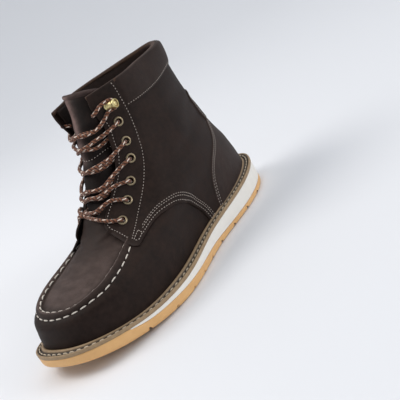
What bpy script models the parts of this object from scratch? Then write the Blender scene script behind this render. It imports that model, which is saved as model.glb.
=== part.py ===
"""Left six-inch moc-toe work boot, built through sections. Sizes in mm, +X toe, +Y outer side, +Z up."""
import math
import bpy
import bmesh
import numpy as np
from mathutils import Vector
from mathutils.geometry import delaunay_2d_cdt

NAME = "work_boot"
MM = 0.001
CENTRE_Y = 0.64         # moves the sole's outline onto the middle of the frame

# Skin of the upper: one row per level section
# height, back, front, widest, round_back, round_front, heel, waist, ball, toe (half widths)
SKIN = np.array([
    [10, -143.0, 145.0, 42, 2.50, 2.50, 44.0, 37.5, 48.0, 53.5],
    [20, -142.5, 144.0, 42, 2.50, 2.50, 43.5, 37.0, 49.0, 55.5],
    [35, -141.5, 142.0, 42, 2.50, 2.50, 42.5, 37.5, 49.5, 56.5],
    [46, -139.5, 137.0, 40, 2.50, 2.50, 42.0, 38.5, 49.0, 55.5],
    [54, -137.5, 121.5, 34, 2.50, 2.60, 41.0, 39.5, 48.0, 49.0],
    [60, -136.5, 99.0, 24, 2.45, 2.70, 39.5, 40.0, 46.0, 40.0],
    [68, -133.0, 73.0, 10, 2.40, 2.70, 38.0, 39.0, 43.0, 33.0],
    [78, -129.0, 57.5, -5, 2.35, 2.60, 36.0, 38.0, 40.0, 29.0],
    [90, -125.5, 47.0, -20, 2.30, 2.50, 33.5, 37.0, 37.5, 26.5],
    [102, -123.0, 39.5, -32, 2.25, 2.35, 31.5, 36.0, 35.5, 25.5],
    [116, -120.5, 30.0, -42, 2.20, 2.20, 29.5, 34.5, 34.5, 26.5],
    [132, -119.0, 21.5, -50, 2.15, 2.15, 28.5, 33.0, 34.5, 27.5],
    [150, -118.5, 15.5, -55, 2.10, 2.10, 27.5, 31.5, 35.5, 29.5],
    [170, -122.5, 12.5, -58, 2.10, 2.10, 27.5, 30.0, 36.5, 32.0],
    [190, -127.0, 12.0, -60, 2.10, 2.10, 29.0, 28.5, 37.5, 34.0]])
ALONG = [0.0, 0.13, 0.43, 0.67, 0.88, 1.0]     # heel end, heel, waist, ball, toe, toe end
SWING = [-1.0, 0.0, 3.5, 1.5, -5.5, -9.0]      # sideways swing of the last along the foot
LEAN_Z, LEAN = [10, 60, 110, 170, 190], [0, 0, -4, -8, -9]   # the throat leans to the inner side

# Sole
SOLE_HALF, SOLE_WIDEST = 152.0, 45.0
SOLE_OUTER = [52.5, 52.5, 47.0, 57.5, 57.0, 57.0]
SOLE_INNER = [52.5, 52.5, 38.0, 54.0, 59.5, 59.5]
SOLE_SWING = [0, 0, 0, 0, -5.7, -9.5]
TOP_X, TOP_Z = [-152, -80, -20, 50, 90, 152], [24.5, 19.5, 16.2, 13.0, 13.2, 21.5]
WEDGE_X, WEDGE_Z = [-152, -40, 0, 40, 75, 100, 114], [6.3, 7.0, 8.2, 9.3, 9.3, 11.2, 14.6]
WEDGE_TIP = 114.0
TOE_SPRING, SPRING_FROM = 13.5, 50.0
HEEL_LIFT, LIFT_FROM = 1.3, -120.0
EDGE_ROUND = 1.4
# groove, place along the sole, bare half width in the middle
GROOVES = [(-103, 0), (-76, 0), (-48, 0), (-21, 17), (3, 0), (28, 0), (52, 0), (76, 0), (100, 0)]
GROOVE_DEEP, GROOVE_FRONT, GROOVE_REAR = 2.8, 1.6, 3.4
ZIG_STEP, ZIG_REACH, ZIG_SLANT = 12.0, 4.2, -0.06

# Upper, panels and gaps
GAP, FIT = 0.4, 0.15
BASE = -0.8              # outer face of the upper, measured from the skin
WALL = 2.0
LEATHER = 1.4
OVER = BASE + GAP        # inner face of every panel laid over the upper
FACE = OVER + LEATHER    # outer face of the quarters
REACH = 5.0              # panels are drawn this far in and out of the skin, then cut to the leather
HEEL_MORE = 0.5          # counter and stay stand this much higher than the quarters
WELT_LIP = 4.6
COLLAR_X, COLLAR_Z = [-135, -60, 15], [174.5, 171.5, 169.5]
SEAM_X, SEAM_Z = [-20, 20, 45, 70, 95, 118, 136], [76, 74, 67, 58, 53, 49.5, 47.5]
RIDGE, RIDGE_HALF, RIDGE_FOOT, RIDGE_END = 1.5, 2.2, 5.0, 66.0
THROAT_Z = 84.0
# height, half angle of the slit in the upper
SLIT = [(84, 0.0), (86, 0.30), (89, 0.50), (94, 0.66), (101, 0.79), (112, 0.82), (125, 0.78),
        (140, 0.75), (151, 0.69), (160, 0.65), (190, 0.65)]
# angle, height of the quarter's front edge, top to tab
FRONT_EDGE = [(0.62, 167), (0.61, 158.5), (0.66, 151), (0.72, 140.5), (0.75, 126.5), (0.79, 114.5),
              (0.77, 102.5), (0.67, 95), (0.60, 90.5), (0.47, 83.6), (0.43, 77.6), (0.54, 72.8),
              (0.73, 68.8), (0.92, 65.2), (1.10, 61.2)]
# lower edge of the quarter: tab, then the arc down to the welt
ARC_EDGE = [(1.20, 58.4), (1.28, 57.0), (1.34, 58.6), (1.42, 61), (1.49, 62.4), (1.56, 62.4),
            (1.61, 61), (1.66, 58.4), (1.72, 54.2), (1.77, 50), (1.83, 39.2), (1.86, 30)]
# front edge of the counter, welt to top, and the rear stay above it
COUNTER_EDGE = [(2.00, 28.4), (2.03, 40.4), (2.07, 50.8), (2.14, 60), (2.27, 67.2), (2.40, 74.5),
                (2.52, 83)]
STAY_EDGE = [(2.60, 90), (2.60, 104), (2.66, 115)]
# cuff: front edge and lower edge
CUFF_EDGE = [(1.05, 166.8), (1.07, 156.8), (1.10, 145.2)]
CUFF_SEAM = [(1.10, 145.2), (1.39, 145.0), (1.63, 145.0), (1.87, 146.2), (2.22, 148.6), (math.pi, 150)]
CUFF_PAD = 1.0
# angle, height of each eyelet from the top; the hook stands above them
EYELETS = [(0.95, 138.8), (1.00, 122.0), (1.05, 108.4), (1.05, 93.6), (1.00, 82.8), (0.91, 73.2)]
HOOK = (0.92, 154.4)
LACE_END = (0.74, 153.0)
HOLE_R, EYELET_R, EYELET_BORE = 3.4, 4.4, 1.9
HOLLOW_SEAT = 0.9        # the lowest eyelets sit higher, across the hollow of the instep
# tongue: angle, height down one edge
TONGUE_EDGE = [(0.0, 178.5), (0.35, 178), (0.62, 176), (0.78, 171), (0.84, 162), (0.90, 145), (0.95, 125),
               (0.96, 112), (0.90, 101), (0.74, 91), (0.55, 83), (0.30, 79), (0.0, 78)]
TONGUE_THICK = 2.2
TONGUE_OUT = BASE - WALL - 0.9
LACE_R = 1.9
AROUND = 40              # columns round the upper


def smooth(xs, ys, q):
    """Smooth curve through a table; ys may have several columns."""
    x, y, q = np.asarray(xs, float), np.asarray(ys, float), np.asarray(q, float)
    h = np.diff(x)
    wide = (-1,) + (1,) * (y.ndim - 1)
    d = np.diff(y, axis=0) / h.reshape(wide)
    m = np.concatenate([d[:1], np.zeros_like(d[1:]), d[-1:]])
    w = (h[1:] / (h[1:] + h[:-1])).reshape(wide)
    m[1:-1] = w * d[:-1] + (1 - w) * d[1:]
    q = np.clip(q, x[0], x[-1])
    i = np.clip(np.searchsorted(x, q, side="right") - 1, 0, len(x) - 2)
    t, step = (q - x[i]) / h[i], h[i]
    if y.ndim > 1:
        t, step = t[..., None], step[..., None]
    return ((1 + 2 * t) * (1 - t) ** 2 * y[i] + t * (1 - t) ** 2 * step * m[i]
            + t * t * (3 - 2 * t) * y[i + 1] + t * t * (t - 1) * step * m[i + 1])


def level(theta, z):
    """Point of the skin at an angle and a height (0 toe, +pi/2 outer side, pi heel)."""
    theta, z = np.broadcast_arrays(np.asarray(theta, float), np.asarray(z, float))
    row = smooth(SKIN[:, 0], SKIN[:, 1:], z)
    back, front, mid, nb, nf = [row[..., k] for k in range(5)]
    c, s = np.cos(theta), np.sin(theta)
    n = np.where(c >= 0, nf, nb)
    x = mid + np.sign(c) * np.where(c >= 0, front - mid, mid - back) * np.abs(c) ** (2 / n)
    u = np.clip((x - back) / (front - back), 0, 1)
    half = np.stack([row[..., 5], row[..., 5], row[..., 6], row[..., 7], row[..., 8], row[..., 8]], -1)
    wide = np.array([smooth(ALONG, hw, uu) for hw, uu in zip(half.reshape(-1, 6), u.reshape(-1))]).reshape(u.shape)
    fade = np.clip((130 - z) / 100, 0, 1)
    swing = smooth(ALONG, SWING, u) * fade * fade * (3 - 2 * fade) + smooth(LEAN_Z, LEAN, z) * u
    y = np.sign(s) * np.abs(s) ** (2 / n) * wide + swing
    return np.stack([x, y, z], -1)


def skin(theta, z, out=0.0):
    """Point at a distance outside the skin, along its normal."""
    dt, dz = 0.02, 0.8
    p = level(theta, z)
    across = level(np.asarray(theta) + dt, z) - level(np.asarray(theta) - dt, z)
    rise = level(theta, np.asarray(z) + dz) - level(theta, np.asarray(z) - dz)
    normal = np.cross(across, rise)
    normal /= np.linalg.norm(normal, axis=-1)[..., None]
    return p + normal * np.asarray(out)[..., None]


def at_line(theta, line, start):
    """Height on the skin where it meets a line given as height over x."""
    z = np.full(np.shape(theta), float(start))
    for _ in range(14):
        z = 0.5 * z + 0.5 * line(level(theta, z)[..., 0])
    return z


def sole_top(x):
    return smooth(TOP_X, TOP_Z, x)


def sole_bottom(x):
    x = np.asarray(x, float)
    toe = np.clip((x - SPRING_FROM) / (SOLE_HALF - SPRING_FROM), 0, 1)
    heel = np.clip((LIFT_FROM - x) / (SOLE_HALF + LIFT_FROM), 0, 1)
    return TOE_SPRING * toe ** 2 + HEEL_LIFT * heel ** 2


def wedge_line(x):
    return smooth(WEDGE_X, WEDGE_Z, x)


def sole_edge(theta, inset=0.0):
    """Outline of the sole in plan."""
    theta = np.asarray(theta, float)
    c, s = np.cos(theta), np.sin(theta)
    x = SOLE_WIDEST + np.sign(c) * np.where(c >= 0, SOLE_HALF - SOLE_WIDEST, SOLE_HALF + SOLE_WIDEST) * np.abs(c) ** 0.8
    u = (x + SOLE_HALF) / (2 * SOLE_HALF)
    half = np.where(s >= 0, smooth(ALONG, SOLE_OUTER, u), smooth(ALONG, SOLE_INNER, u))
    edge = np.stack([x, np.sign(s) * np.abs(s) ** 0.8 * half + smooth(ALONG, SOLE_SWING, u)], -1)
    if inset:
        along = sole_edge(theta + 0.01) - sole_edge(theta - 0.01)
        along /= np.linalg.norm(along, axis=-1)[..., None]
        edge = edge + inset * np.stack([-along[..., 1], along[..., 0]], -1)
    return edge


def material(name, rgb, rough, metal=0.0):
    mat = bpy.data.materials.get(name) or bpy.data.materials.new(name)
    mat.use_nodes = True
    shader = mat.node_tree.nodes["Principled BSDF"]
    shader.inputs["Base Color"].default_value = (*rgb, 1)
    shader.inputs["Roughness"].default_value = rough
    shader.inputs["Metallic"].default_value = metal
    return mat


def solid(name, verts, faces, mat, rounded=True, where=None):
    """Closed mesh object from points in mm."""
    mesh = bpy.data.meshes.new(name)
    place = np.array([0.0, CENTRE_Y, 0.0])
    mesh.from_pydata([Vector((np.asarray(v) + place) * MM) for v in verts], [], faces)
    bm = bmesh.new()
    bm.from_mesh(mesh)
    bmesh.ops.remove_doubles(bm, verts=bm.verts, dist=1e-6)
    bmesh.ops.dissolve_degenerate(bm, edges=bm.edges, dist=1e-6)
    bmesh.ops.recalc_face_normals(bm, faces=bm.faces)
    bm.to_mesh(mesh)
    bm.free()
    mesh.polygons.foreach_set("use_smooth", [rounded] * len(mesh.polygons))
    obj = bpy.data.objects.new(name, mesh)
    (where or PARTS).objects.link(obj)
    if mat:
        mesh.materials.append(mat)
    return obj


def boolean(obj, tools, operation):
    """Apply a boolean with each tool mesh."""
    for tool in tools:
        mod = obj.modifiers.new(operation, "BOOLEAN")
        mod.operation, mod.solver, mod.object = operation, "EXACT", tool
        bpy.context.view_layer.objects.active = obj
        bpy.ops.object.modifier_apply(modifier=mod.name)


def fill(loop, inner_points):
    """Triangles of a plane outline, and its edges."""
    edges = [(k, (k + 1) % len(loop)) for k in range(len(loop))]
    coords = [Vector(p) for p in list(loop) + list(inner_points)]
    pts, _, tris, _, _, _ = delaunay_2d_cdt(coords, edges, [], 1, 1e-5)
    if len(pts) != len(coords):
        raise ValueError("the outline crosses itself")
    return [tuple(t) for t in tris], edges


def inside(p, loop):
    x, y = p
    hit = False
    for (x0, y0), (x1, y1) in zip(loop, loop[1:] + loop[:1]):
        if (y0 > y) != (y1 > y) and x < x0 + (y - y0) / (y1 - y0) * (x1 - x0):
            hit = not hit
    return hit


def away(p, loop):
    """Distance from a point to a closed line."""
    a = np.array(loop)
    d = np.roll(a, -1, axis=0) - a
    t = np.clip(((np.array(p) - a) * d).sum(1) / ((d * d).sum(1) + 1e-12), 0, 1)
    return np.linalg.norm(a + d * t[:, None] - np.array(p), axis=1).min()


def divide(loop, step):
    """Points along a closed line, no further apart than the step."""
    out = []
    for a, b in zip(loop, loop[1:] + loop[:1]):
        n = max(1, math.ceil(math.dist(a, b) / step - 1e-6))
        out += [(a[0] + (b[0] - a[0]) * k / n, a[1] + (b[1] - a[1]) * k / n) for k in range(n)]
    return out


def unrolled(height):
    """Angles round the skin and the length run from the toe at one height."""
    t = np.linspace(-math.pi, 3 * math.pi, 1921)
    p = level(t, np.full(len(t), float(height)))
    run = np.concatenate([[0.0], np.cumsum(np.linalg.norm(np.diff(p, axis=0), axis=1))])
    return t, run - np.interp(0.0, t, run)


def panel(name, outline, low, high, mat, height, step=12.0, cut_by=None, keep=None):
    """Leather panel: an outline of (angle, height) between two distances from the skin, cut by one block and kept in another."""
    angle, run = unrolled(height)
    flat = lambda line: [(float(np.interp(t, angle, run)), z) for t, z in line]
    loop = divide(flat(outline), step)
    xs, ys = zip(*loop)
    grid = [(x, y) for x in np.arange(min(xs) + step / 2, max(xs), step) for y in np.arange(min(ys) + step / 2, max(ys), step)]
    grid = [p for p in grid if inside(p, loop) and away(p, loop) > 0.45 * step]
    tris, edges = fill(loop, grid)
    drawn = np.array(loop + grid)
    theta, z = np.interp(drawn[:, 0], run, angle), drawn[:, 1]
    lift = [np.array(d(theta, z)) if callable(d) else np.full(len(z), d) for d in (low, high)]
    n = len(drawn)
    verts = np.concatenate([skin(theta, z, lift[0]), skin(theta, z, lift[1])])
    faces = [(a, b, c) for a, b, c in tris] + [(a + n, c + n, b + n) for a, b, c in tris]
    faces += [(a, b, b + n, a + n) for a, b in edges]
    piece = solid(name, verts, faces, mat)
    if keep:
        boolean(piece, [keep], "INTERSECT")
    if cut_by:
        boolean(piece, [cut_by], "DIFFERENCE")
    return piece


def slab(name, outline, low, high, mat, step=18.0, round_off=0.0, lower=None, across=()):
    """Plate in plan between two heights over x; the lower edge may be rounded off."""
    loop = [tuple(p) for p in outline]
    xs, ys = zip(*loop)
    grid = [(x, y) for x in np.arange(min(xs) + step / 2, max(xs), step) for y in np.arange(min(ys) + step / 2, max(ys), step * 1.8)]
    grid = [p for p in grid if all(abs(p[0] - x) > step / 3 for x in across)]
    grid += [(x, y) for x in across for y in np.arange(min(ys), max(ys), step)]
    grid = [p for p in grid if inside(p, loop) and away(p, loop) > (0.5 if p[0] not in across else 0.2) * step]
    tris, edges = fill(loop, grid)
    flat = np.array(loop + grid)
    n, m = len(flat), len(loop)
    under = flat.copy()
    if lower is not None:
        under[:m] = lower
    verts = np.concatenate([np.c_[flat, high(flat[:, 0])], np.c_[under, low(under[:, 0])],
                            np.c_[flat[:m], low(flat[:m, 0]) + round_off]])
    faces = list(tris) + [(a + n, c + n, b + n) for a, b, c in tris]
    if round_off:
        faces += [(a, b, b + 2 * n, a + 2 * n) for a, b in edges] + [(a + 2 * n, b + 2 * n, b + n, a + n) for a, b in edges]
    else:
        faces += [(a, b, b + n, a + n) for a, b in edges]
    return solid(name, verts[:2 * n] if not round_off else verts, faces, mat)


def clear_scene():
    for obj in list(bpy.data.objects):
        bpy.data.objects.remove(obj, do_unlink=True)


clear_scene()
PARTS = bpy.data.collections.new(NAME)
CUTTERS = bpy.data.collections.new(NAME + "_cutters")
for group in (PARTS, CUTTERS):
    bpy.context.scene.collection.children.link(group)

LEATHER_MAT = material("dark_brown_leather", (0.028, 0.020, 0.018), 0.62)
LINING_MAT = material("lining_fabric", (0.03, 0.025, 0.022), 0.9)
WELT_MAT = material("welt_strip", (0.25, 0.18, 0.11), 0.6)
WHITE_MAT = material("white_foam", (0.80, 0.79, 0.75), 0.7)
GUM_MAT = material("tan_rubber", (0.66, 0.37, 0.13), 0.65)
BRASS_MAT = material("antique_brass", (0.42, 0.32, 0.16), 0.35, 1.0)
LACE_MAT = material("lace_cord", (0.18, 0.08, 0.05), 0.8)


def make_sole():
    """Tan outsole with zigzag grooves, white wedge above it and the welt round the top."""
    ring = np.linspace(-math.pi, math.pi, 73)[:-1]

    def tread_top(x):
        return np.where(x > WEDGE_TIP + 0.3, sole_top(x), wedge_line(x)) - FIT

    # the outline carries a pair of points on each side of the wedge's tip
    edge = [tuple(p) for p in sole_edge(ring)]
    inner = [tuple(p) for p in sole_edge(ring, EDGE_ROUND)]
    bends = (76.0, 88.0, 100.0, 107.0)
    step_at = bends + (WEDGE_TIP, WEDGE_TIP + 0.6)
    for x in step_at:
        edge, inner = cut_line(edge, x), cut_line(inner, x)
    outsole = slab("outsole", edge, sole_bottom, tread_top, GUM_MAT, round_off=EDGE_ROUND, lower=np.array(inner), across=step_at)
    boolean(outsole, [groove(x, bare, side) for x, bare in GROOVES for side in ((0,) if not bare else (-1, 1))], "DIFFERENCE")

    front = WEDGE_TIP - 0.35
    back = [tuple(p) for p in sole_edge(ring)]
    for x in bends + (front,):
        back = cut_line(back, x)
    back = [p for p in back if p[0] <= front + 1e-6]
    slab("midsole", back, lambda x: wedge_line(x) + FIT, lambda x: sole_top(x) - FIT, WHITE_MAT, across=bends)

    # share of the ledge from the upper outwards, height above the sole
    profile = [(0.0, 0.0), (1.0, 0.0), (1.0, 2.6), (0.92, 3.3), (0.66, 3.3), (0.53, 2.0), (0.36, 4.2), (0.0, WELT_LIP)]
    ring = np.linspace(-math.pi, math.pi, 53)[:-1]
    outer = sole_edge(ring)
    rows = []
    for share, height in profile:
        z = at_line(ring, lambda x: sole_top(x) + FIT + height, 20)
        near = skin(ring, z, np.full(len(ring), BASE + 0.7))
        xy = near[:, :2] * (1 - share) + outer * share
        rows.append(np.c_[xy, sole_top(xy[:, 0]) + FIT + height])
    n, k = len(ring), len(profile)
    faces = [(i * n + j, ((i + 1) % k) * n + j, ((i + 1) % k) * n + (j + 1) % n, i * n + (j + 1) % n) for i in range(k) for j in range(n)]
    solid("welt", np.concatenate(rows), faces, WELT_MAT)


def cut_line(loop, x_at):
    """Add the points where a closed line crosses a given x."""
    out = []
    for a, b in zip(loop, loop[1:] + loop[:1]):
        out.append(a)
        if (a[0] - x_at) * (b[0] - x_at) < 0:
            t = (x_at - a[0]) / (b[0] - a[0])
            out.append((x_at, a[1] + t * (b[1] - a[1])))
    return out


def groove(x_at, bare, side):
    """Zigzag cutter across the sole: steep in front, sloping behind."""
    reach = 6 * ZIG_STEP
    ys = np.arange(-reach, reach + 1, ZIG_STEP)
    if side:
        ys = ys[ys * side > bare]
        ys = np.sort(np.append(ys, side * bare))
    zig = np.interp(ys, np.arange(-reach, reach + 1, ZIG_STEP), ZIG_REACH * (-1.0) ** np.arange(13))
    x = x_at + zig + ZIG_SLANT * ys
    section = [(GROOVE_FRONT + 0.5, -2.0), (GROOVE_FRONT, GROOVE_DEEP), (0.2, GROOVE_DEEP), (-GROOVE_REAR, -2.0)]
    verts = [(px + dx, py, float(sole_bottom(px)) + dz) for px, py in zip(x, ys) for dx, dz in section]
    faces = [(4 * k + a, 4 * k + (a + 1) % 4, 4 * k + 4 + (a + 1) % 4, 4 * k + 4 + a) for k in range(len(ys) - 1) for a in range(4)]
    last = 4 * (len(ys) - 1)
    faces += [(0, 1, 2, 3), (last + 3, last + 2, last + 1, last)]
    tool = solid("groove_%d_%d" % (x_at, side), verts, faces, None, False, CUTTERS)
    tool.hide_render, tool.display_type = True, "WIRE"
    return tool


def eyelet_places():
    """Angle and height of every eyelet: (name, angle, height)."""
    return [("eyelet_%s_%d" % (word, k + 1), side * t, z) for side, word in ((1, "lateral"), (-1, "medial")) for k, (t, z) in enumerate(EYELETS)]


def turned(t, z):
    """Axes of a fitting on the skin: origin, across, up the boot, outward."""
    p, q = skin(np.array([t, t]), np.array([z, z]), np.array([0.0, 1.0]))
    out = q - p
    across = np.cross([0, 0, 1.0], out)
    across /= np.linalg.norm(across)
    return p, across, np.cross(out, across), out


def make_upper():
    """Hollow upper: rows from the feather line over the moc seam to the collar, slit at the throat."""
    share = np.arange(AROUND + 1) / AROUND
    slit_z, slit_t = zip(*SLIT)
    foot, shaft = [np.interp(share * np.interp(2 * math.pi, t, run), run, t) for t, run in (unrolled(30), unrolled(130))]

    front = np.minimum(share, 1 - share) * 2 * math.pi
    even = np.clip((front - 0.35) / 0.9, 0, 1)         # away from the throat the rows are spaced evenly

    UP = (0.03, 0.08, 0.18, 0.36, 0.58, 0.79, 1.0)
    # span, share of it; spans run feather to seam foot, across the seam, seam foot to throat, throat to collar
    rows = [(0, s) for s in (0, 0.5)] + [(1, s) for s in (-RIDGE_FOOT, -RIDGE_HALF, RIDGE_HALF, RIDGE_FOOT)]
    rows += [(2, s) for s in (0.33, 0.67, 1.0)] + [(3, s) for s in UP]
    theta, height, lift = [], [], []
    for span, part in rows:
        z = np.full(len(share), [20.0, 60.0, 75.0, 120.0][span])
        slit = np.interp(THROAT_Z + part * (COLLAR_Z[-1] - THROAT_Z), slit_z, slit_t) if span == 3 else 0.0
        if span == 3:
            part = part * (1 - even) + (UP.index(part) + 1) / len(UP) * even
        for _ in range(20):
            up = np.clip((z - 50) / 60, 0, 1)
            t = slit + (foot * (1 - up) + shaft * up) * (1 - slit / math.pi)
            x = level(t, z)[..., 0]
            feather, seam, top = sole_top(x) + FIT, smooth(SEAM_X, SEAM_Z, x), smooth(COLLAR_X, COLLAR_Z, x)
            goal = [feather + part * (seam - RIDGE_FOOT - feather), seam + part,
                    seam + RIDGE_FOOT + part * (THROAT_Z - seam - RIDGE_FOOT), THROAT_Z + part * (top - THROAT_Z)][span]
            z = 0.5 * z + 0.5 * goal
        if span == 2 and part == 1.0:
            z[:] = THROAT_Z
        theta.append(t)
        height.append(z)
        fade = np.clip((x - RIDGE_END) / 15, 0, 1)
        lift.append(BASE + RIDGE * fade * (span == 1 and abs(part) < RIDGE_FOOT))
    theta, height, lift = np.array(theta), np.array(height), np.array(lift)
    outer = skin(theta, height, lift)
    inner = skin(theta, height, np.full(theta.shape, BASE - WALL))
    n, m = theta.shape
    verts = np.concatenate([outer.reshape(-1, 3), inner.reshape(-1, 3)])
    off = n * m
    closed = sum(1 for span, part in rows if span < 3) - 1      # rows up to the throat close in front
    turned_over = diagonals(theta, height, lift)
    faces = []
    for i in range(n - 1):
        for j in range(m - 1):
            faces += halves(i * m + j, i * m + j + 1, (i + 1) * m + j + 1, (i + 1) * m + j, turned_over[i, j])
    faces += [tuple(k + off for k in reversed(f)) for f in faces]
    for i, turn in ((0, 1), (n - 1, -1)):
        for j in range(m - 1):
            a, b = i * m + j, i * m + j + 1
            faces.append((a, a + off, b + off, b)[::turn])
    for j, turn in ((0, 1), (m - 1, -1)):
        for i in range(closed, n - 1):
            a, b = i * m + j, (i + 1) * m + j
            faces.append((a, b, b + off, a + off)[::turn])
    upper = solid("upper", verts, faces, LEATHER_MAT)
    boolean(upper, [hole_tool(t, z) for _, t, z in eyelet_places()], "DIFFERENCE")
    return lambda rise: block(theta, height, lift + GAP + rise, turned_over)


def diagonals(theta, height, lift):
    """For each cell of the upper, whether the second diagonal lies closer to the skin than the first."""
    p = skin(theta, height, lift)
    middle = lambda g: (g[:-1, :-1] + g[1:, 1:] + g[1:, :-1] + g[:-1, 1:]) / 4
    centre = skin(middle(theta), middle(height), middle(lift))
    first = np.linalg.norm((p[:-1, :-1] + p[1:, 1:]) / 2 - centre, axis=-1)
    second = np.linalg.norm((p[:-1, 1:] + p[1:, :-1]) / 2 - centre, axis=-1)
    return second < first


def halves(a, b, c, d, other):
    return [(a, b, d), (b, c, d)] if other else [(a, b, c), (a, c, d)]


def block(theta, height, lift, turned_over):
    """The upper's outer face grown and closed to a solid; a panel is what lies between two of them."""
    ends = theta[:, :1] + (2 * math.pi - 2 * theta[:, :1]) + np.array([0.2, 0.4, 0.6, 0.8]) * 2 * theta[:, :1]
    theta = np.concatenate([theta, ends], 1)
    height = np.concatenate([height] + [height[:, :1]] * 4, 1)
    lift = np.concatenate([lift] + [lift[:, :1]] * 4, 1)
    theta = np.concatenate([theta[:1], theta, theta[-1:]])
    height = np.concatenate([height[:1] - 6, height, height[-1:] + 8])
    lift = np.concatenate([lift[:1], lift, lift[-1:]])
    n, m = theta.shape
    verts = skin(theta, height, lift).reshape(-1, 3)
    other = np.zeros((n - 1, m), bool)
    other[1:-1, :turned_over.shape[1]] = turned_over
    faces = []
    for i in range(n - 1):
        for j in range(m):
            faces += halves(i * m + j, i * m + (j + 1) % m, (i + 1) * m + (j + 1) % m, (i + 1) * m + j, other[i, j])
    for row in (0, n - 1):
        verts = np.concatenate([verts, [verts[row * m:(row + 1) * m].mean(0)]])
        faces += [(row * m + j, row * m + (j + 1) % m, len(verts) - 1) for j in range(m)]
    tool = solid("block", verts, faces, None, False, CUTTERS)
    tool.hide_render, tool.display_type = True, "WIRE"
    return tool


def hole_tool(t, z):
    p, across, up, out = turned(t, z)
    ring = [(math.cos(2 * math.pi * (k + 0.5) / 8) * HOLE_R, math.sin(2 * math.pi * (k + 0.5) / 8) * HOLE_R) for k in range(8)]
    verts = [p + across * a + up * b + out * h for h in (-6.0, 3.0) for a, b in ring]
    faces = [(k, (k + 1) % 8, 8 + (k + 1) % 8, 8 + k) for k in range(8)] + [tuple(range(8))[::-1], tuple(range(8, 16))]
    tool = solid("eyelet_hole", verts, faces, None, False, CUTTERS)
    tool.hide_render, tool.display_type = True, "WIRE"
    return tool


def low_line(t0, t1, count=4):
    """Points just above the welt's lip between two angles."""
    t = np.linspace(t0, t1, count)
    return list(zip(t, at_line(t, lambda x: sole_top(x) + WELT_LIP + 1.0, 25)))


def make_panels(grown):
    """Quarters, cuff, counter and rear stay, laid on the upper."""
    slack = 0.010
    last, skin_over, heel_over = grown(0.0), grown(LEATHER), grown(LEATHER + HEEL_MORE)
    collar = lambda t: float(at_line(np.array([t]), lambda x: smooth(COLLAR_X, COLLAR_Z, x), 170)[0])
    front_top = [(0.62, collar(0.62))]
    eye_top = [(CUFF_EDGE[0][0] - slack, collar(CUFF_EDGE[0][0]))]
    seam = [(t, z - 0.3) for t, z in CUFF_SEAM]
    seam[0] = (CUFF_EDGE[-1][0] - slack, seam[0][1])
    rear = [(t - slack, z) for t, z in COUNTER_EDGE] + [(2.58, 87.3)] + [(t - slack, z) for t, z in STAY_EDGE] + [(2.74, 118.6), (math.pi - slack, 119.4)]
    outline = front_top + FRONT_EDGE + ARC_EDGE + low_line(1.875, COUNTER_EDGE[0][0] - slack) + rear
    outline += [(math.pi - slack, 149.7)] + seam[-2::-1] + [(t - slack, z) for t, z in CUFF_EDGE[1::-1]][:1] + eye_top
    for side, word in ((1, "lateral"), (-1, "medial")):
        quarter = panel("quarter_" + word, [(side * t, z) for t, z in outline], -REACH, REACH, LEATHER_MAT, 95, cut_by=last, keep=skin_over)
        boolean(quarter, [hole_tool(side * t, z) for t, z in EYELETS], "DIFFERENCE")

    wrap = lambda line: [(2 * math.pi - t, z) for t, z in line]
    top = [(t, collar(t)) for t in np.linspace(CUFF_EDGE[0][0], 2 * math.pi - CUFF_EDGE[0][0], 25)]
    cuff_low = [(t, z + 0.3) for t, z in CUFF_SEAM]
    outline = top + wrap(CUFF_EDGE[1:2]) + wrap(cuff_low[:-1]) + cuff_low[::-1] + CUFF_EDGE[1:2]

    def padded(t, z):
        low = np.interp(np.where(t > math.pi, 2 * math.pi - t, t), *zip(*CUFF_SEAM))
        s = np.clip((z - low) / 24.0, 0, 1)
        return FACE + CUFF_PAD * np.sin(math.pi * s) ** 0.7

    panel("cuff", outline, -REACH, padded, LEATHER_MAT, 155, step=12.0, cut_by=last)

    crown = [(2.60, 86.5), (math.pi, 87.5)]
    edge = low_line(COUNTER_EDGE[0][0], 2 * math.pi - COUNTER_EDGE[0][0], 20)
    outline = edge + wrap(COUNTER_EDGE[1:]) + wrap(crown[:1]) + crown[::-1] + COUNTER_EDGE[:0:-1]
    panel("counter", outline, -REACH, REACH, LEATHER_MAT, 45, cut_by=last, keep=heel_over)

    low = [(2.60, 87.2), (math.pi, 88.2)]
    outline = low + wrap(low[:1]) + wrap(STAY_EDGE) + wrap([(2.74, 118)]) + [(math.pi, 118.8), (2.74, 118)] + STAY_EDGE[::-1]
    panel("rear_stay", outline, -REACH, REACH, LEATHER_MAT, 100, cut_by=last, keep=heel_over)


def make_inside():
    """Tongue in the throat and insole in the foot."""
    outline = TONGUE_EDGE + [(-t, z) for t, z in TONGUE_EDGE[-2:0:-1]]
    tuck = lambda z: 2.2 * np.clip((97 - z) / 10, 0, 1)
    panel("tongue", outline, lambda t, z: TONGUE_OUT - TONGUE_THICK - tuck(z), lambda t, z: TONGUE_OUT - tuck(z), LEATHER_MAT, 120, step=10.0)
    ring = np.linspace(-math.pi, math.pi, 57)[:-1]
    z = at_line(ring, lambda x: sole_top(x) + 2.0, 20)
    edge = skin(ring, z, np.full(len(ring), BASE - WALL - 1.6))[:, :2]
    slab("insole", edge, lambda x: sole_top(x) + FIT, lambda x: sole_top(x) + FIT + 3.0, LINING_MAT, step=18.0)


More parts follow.
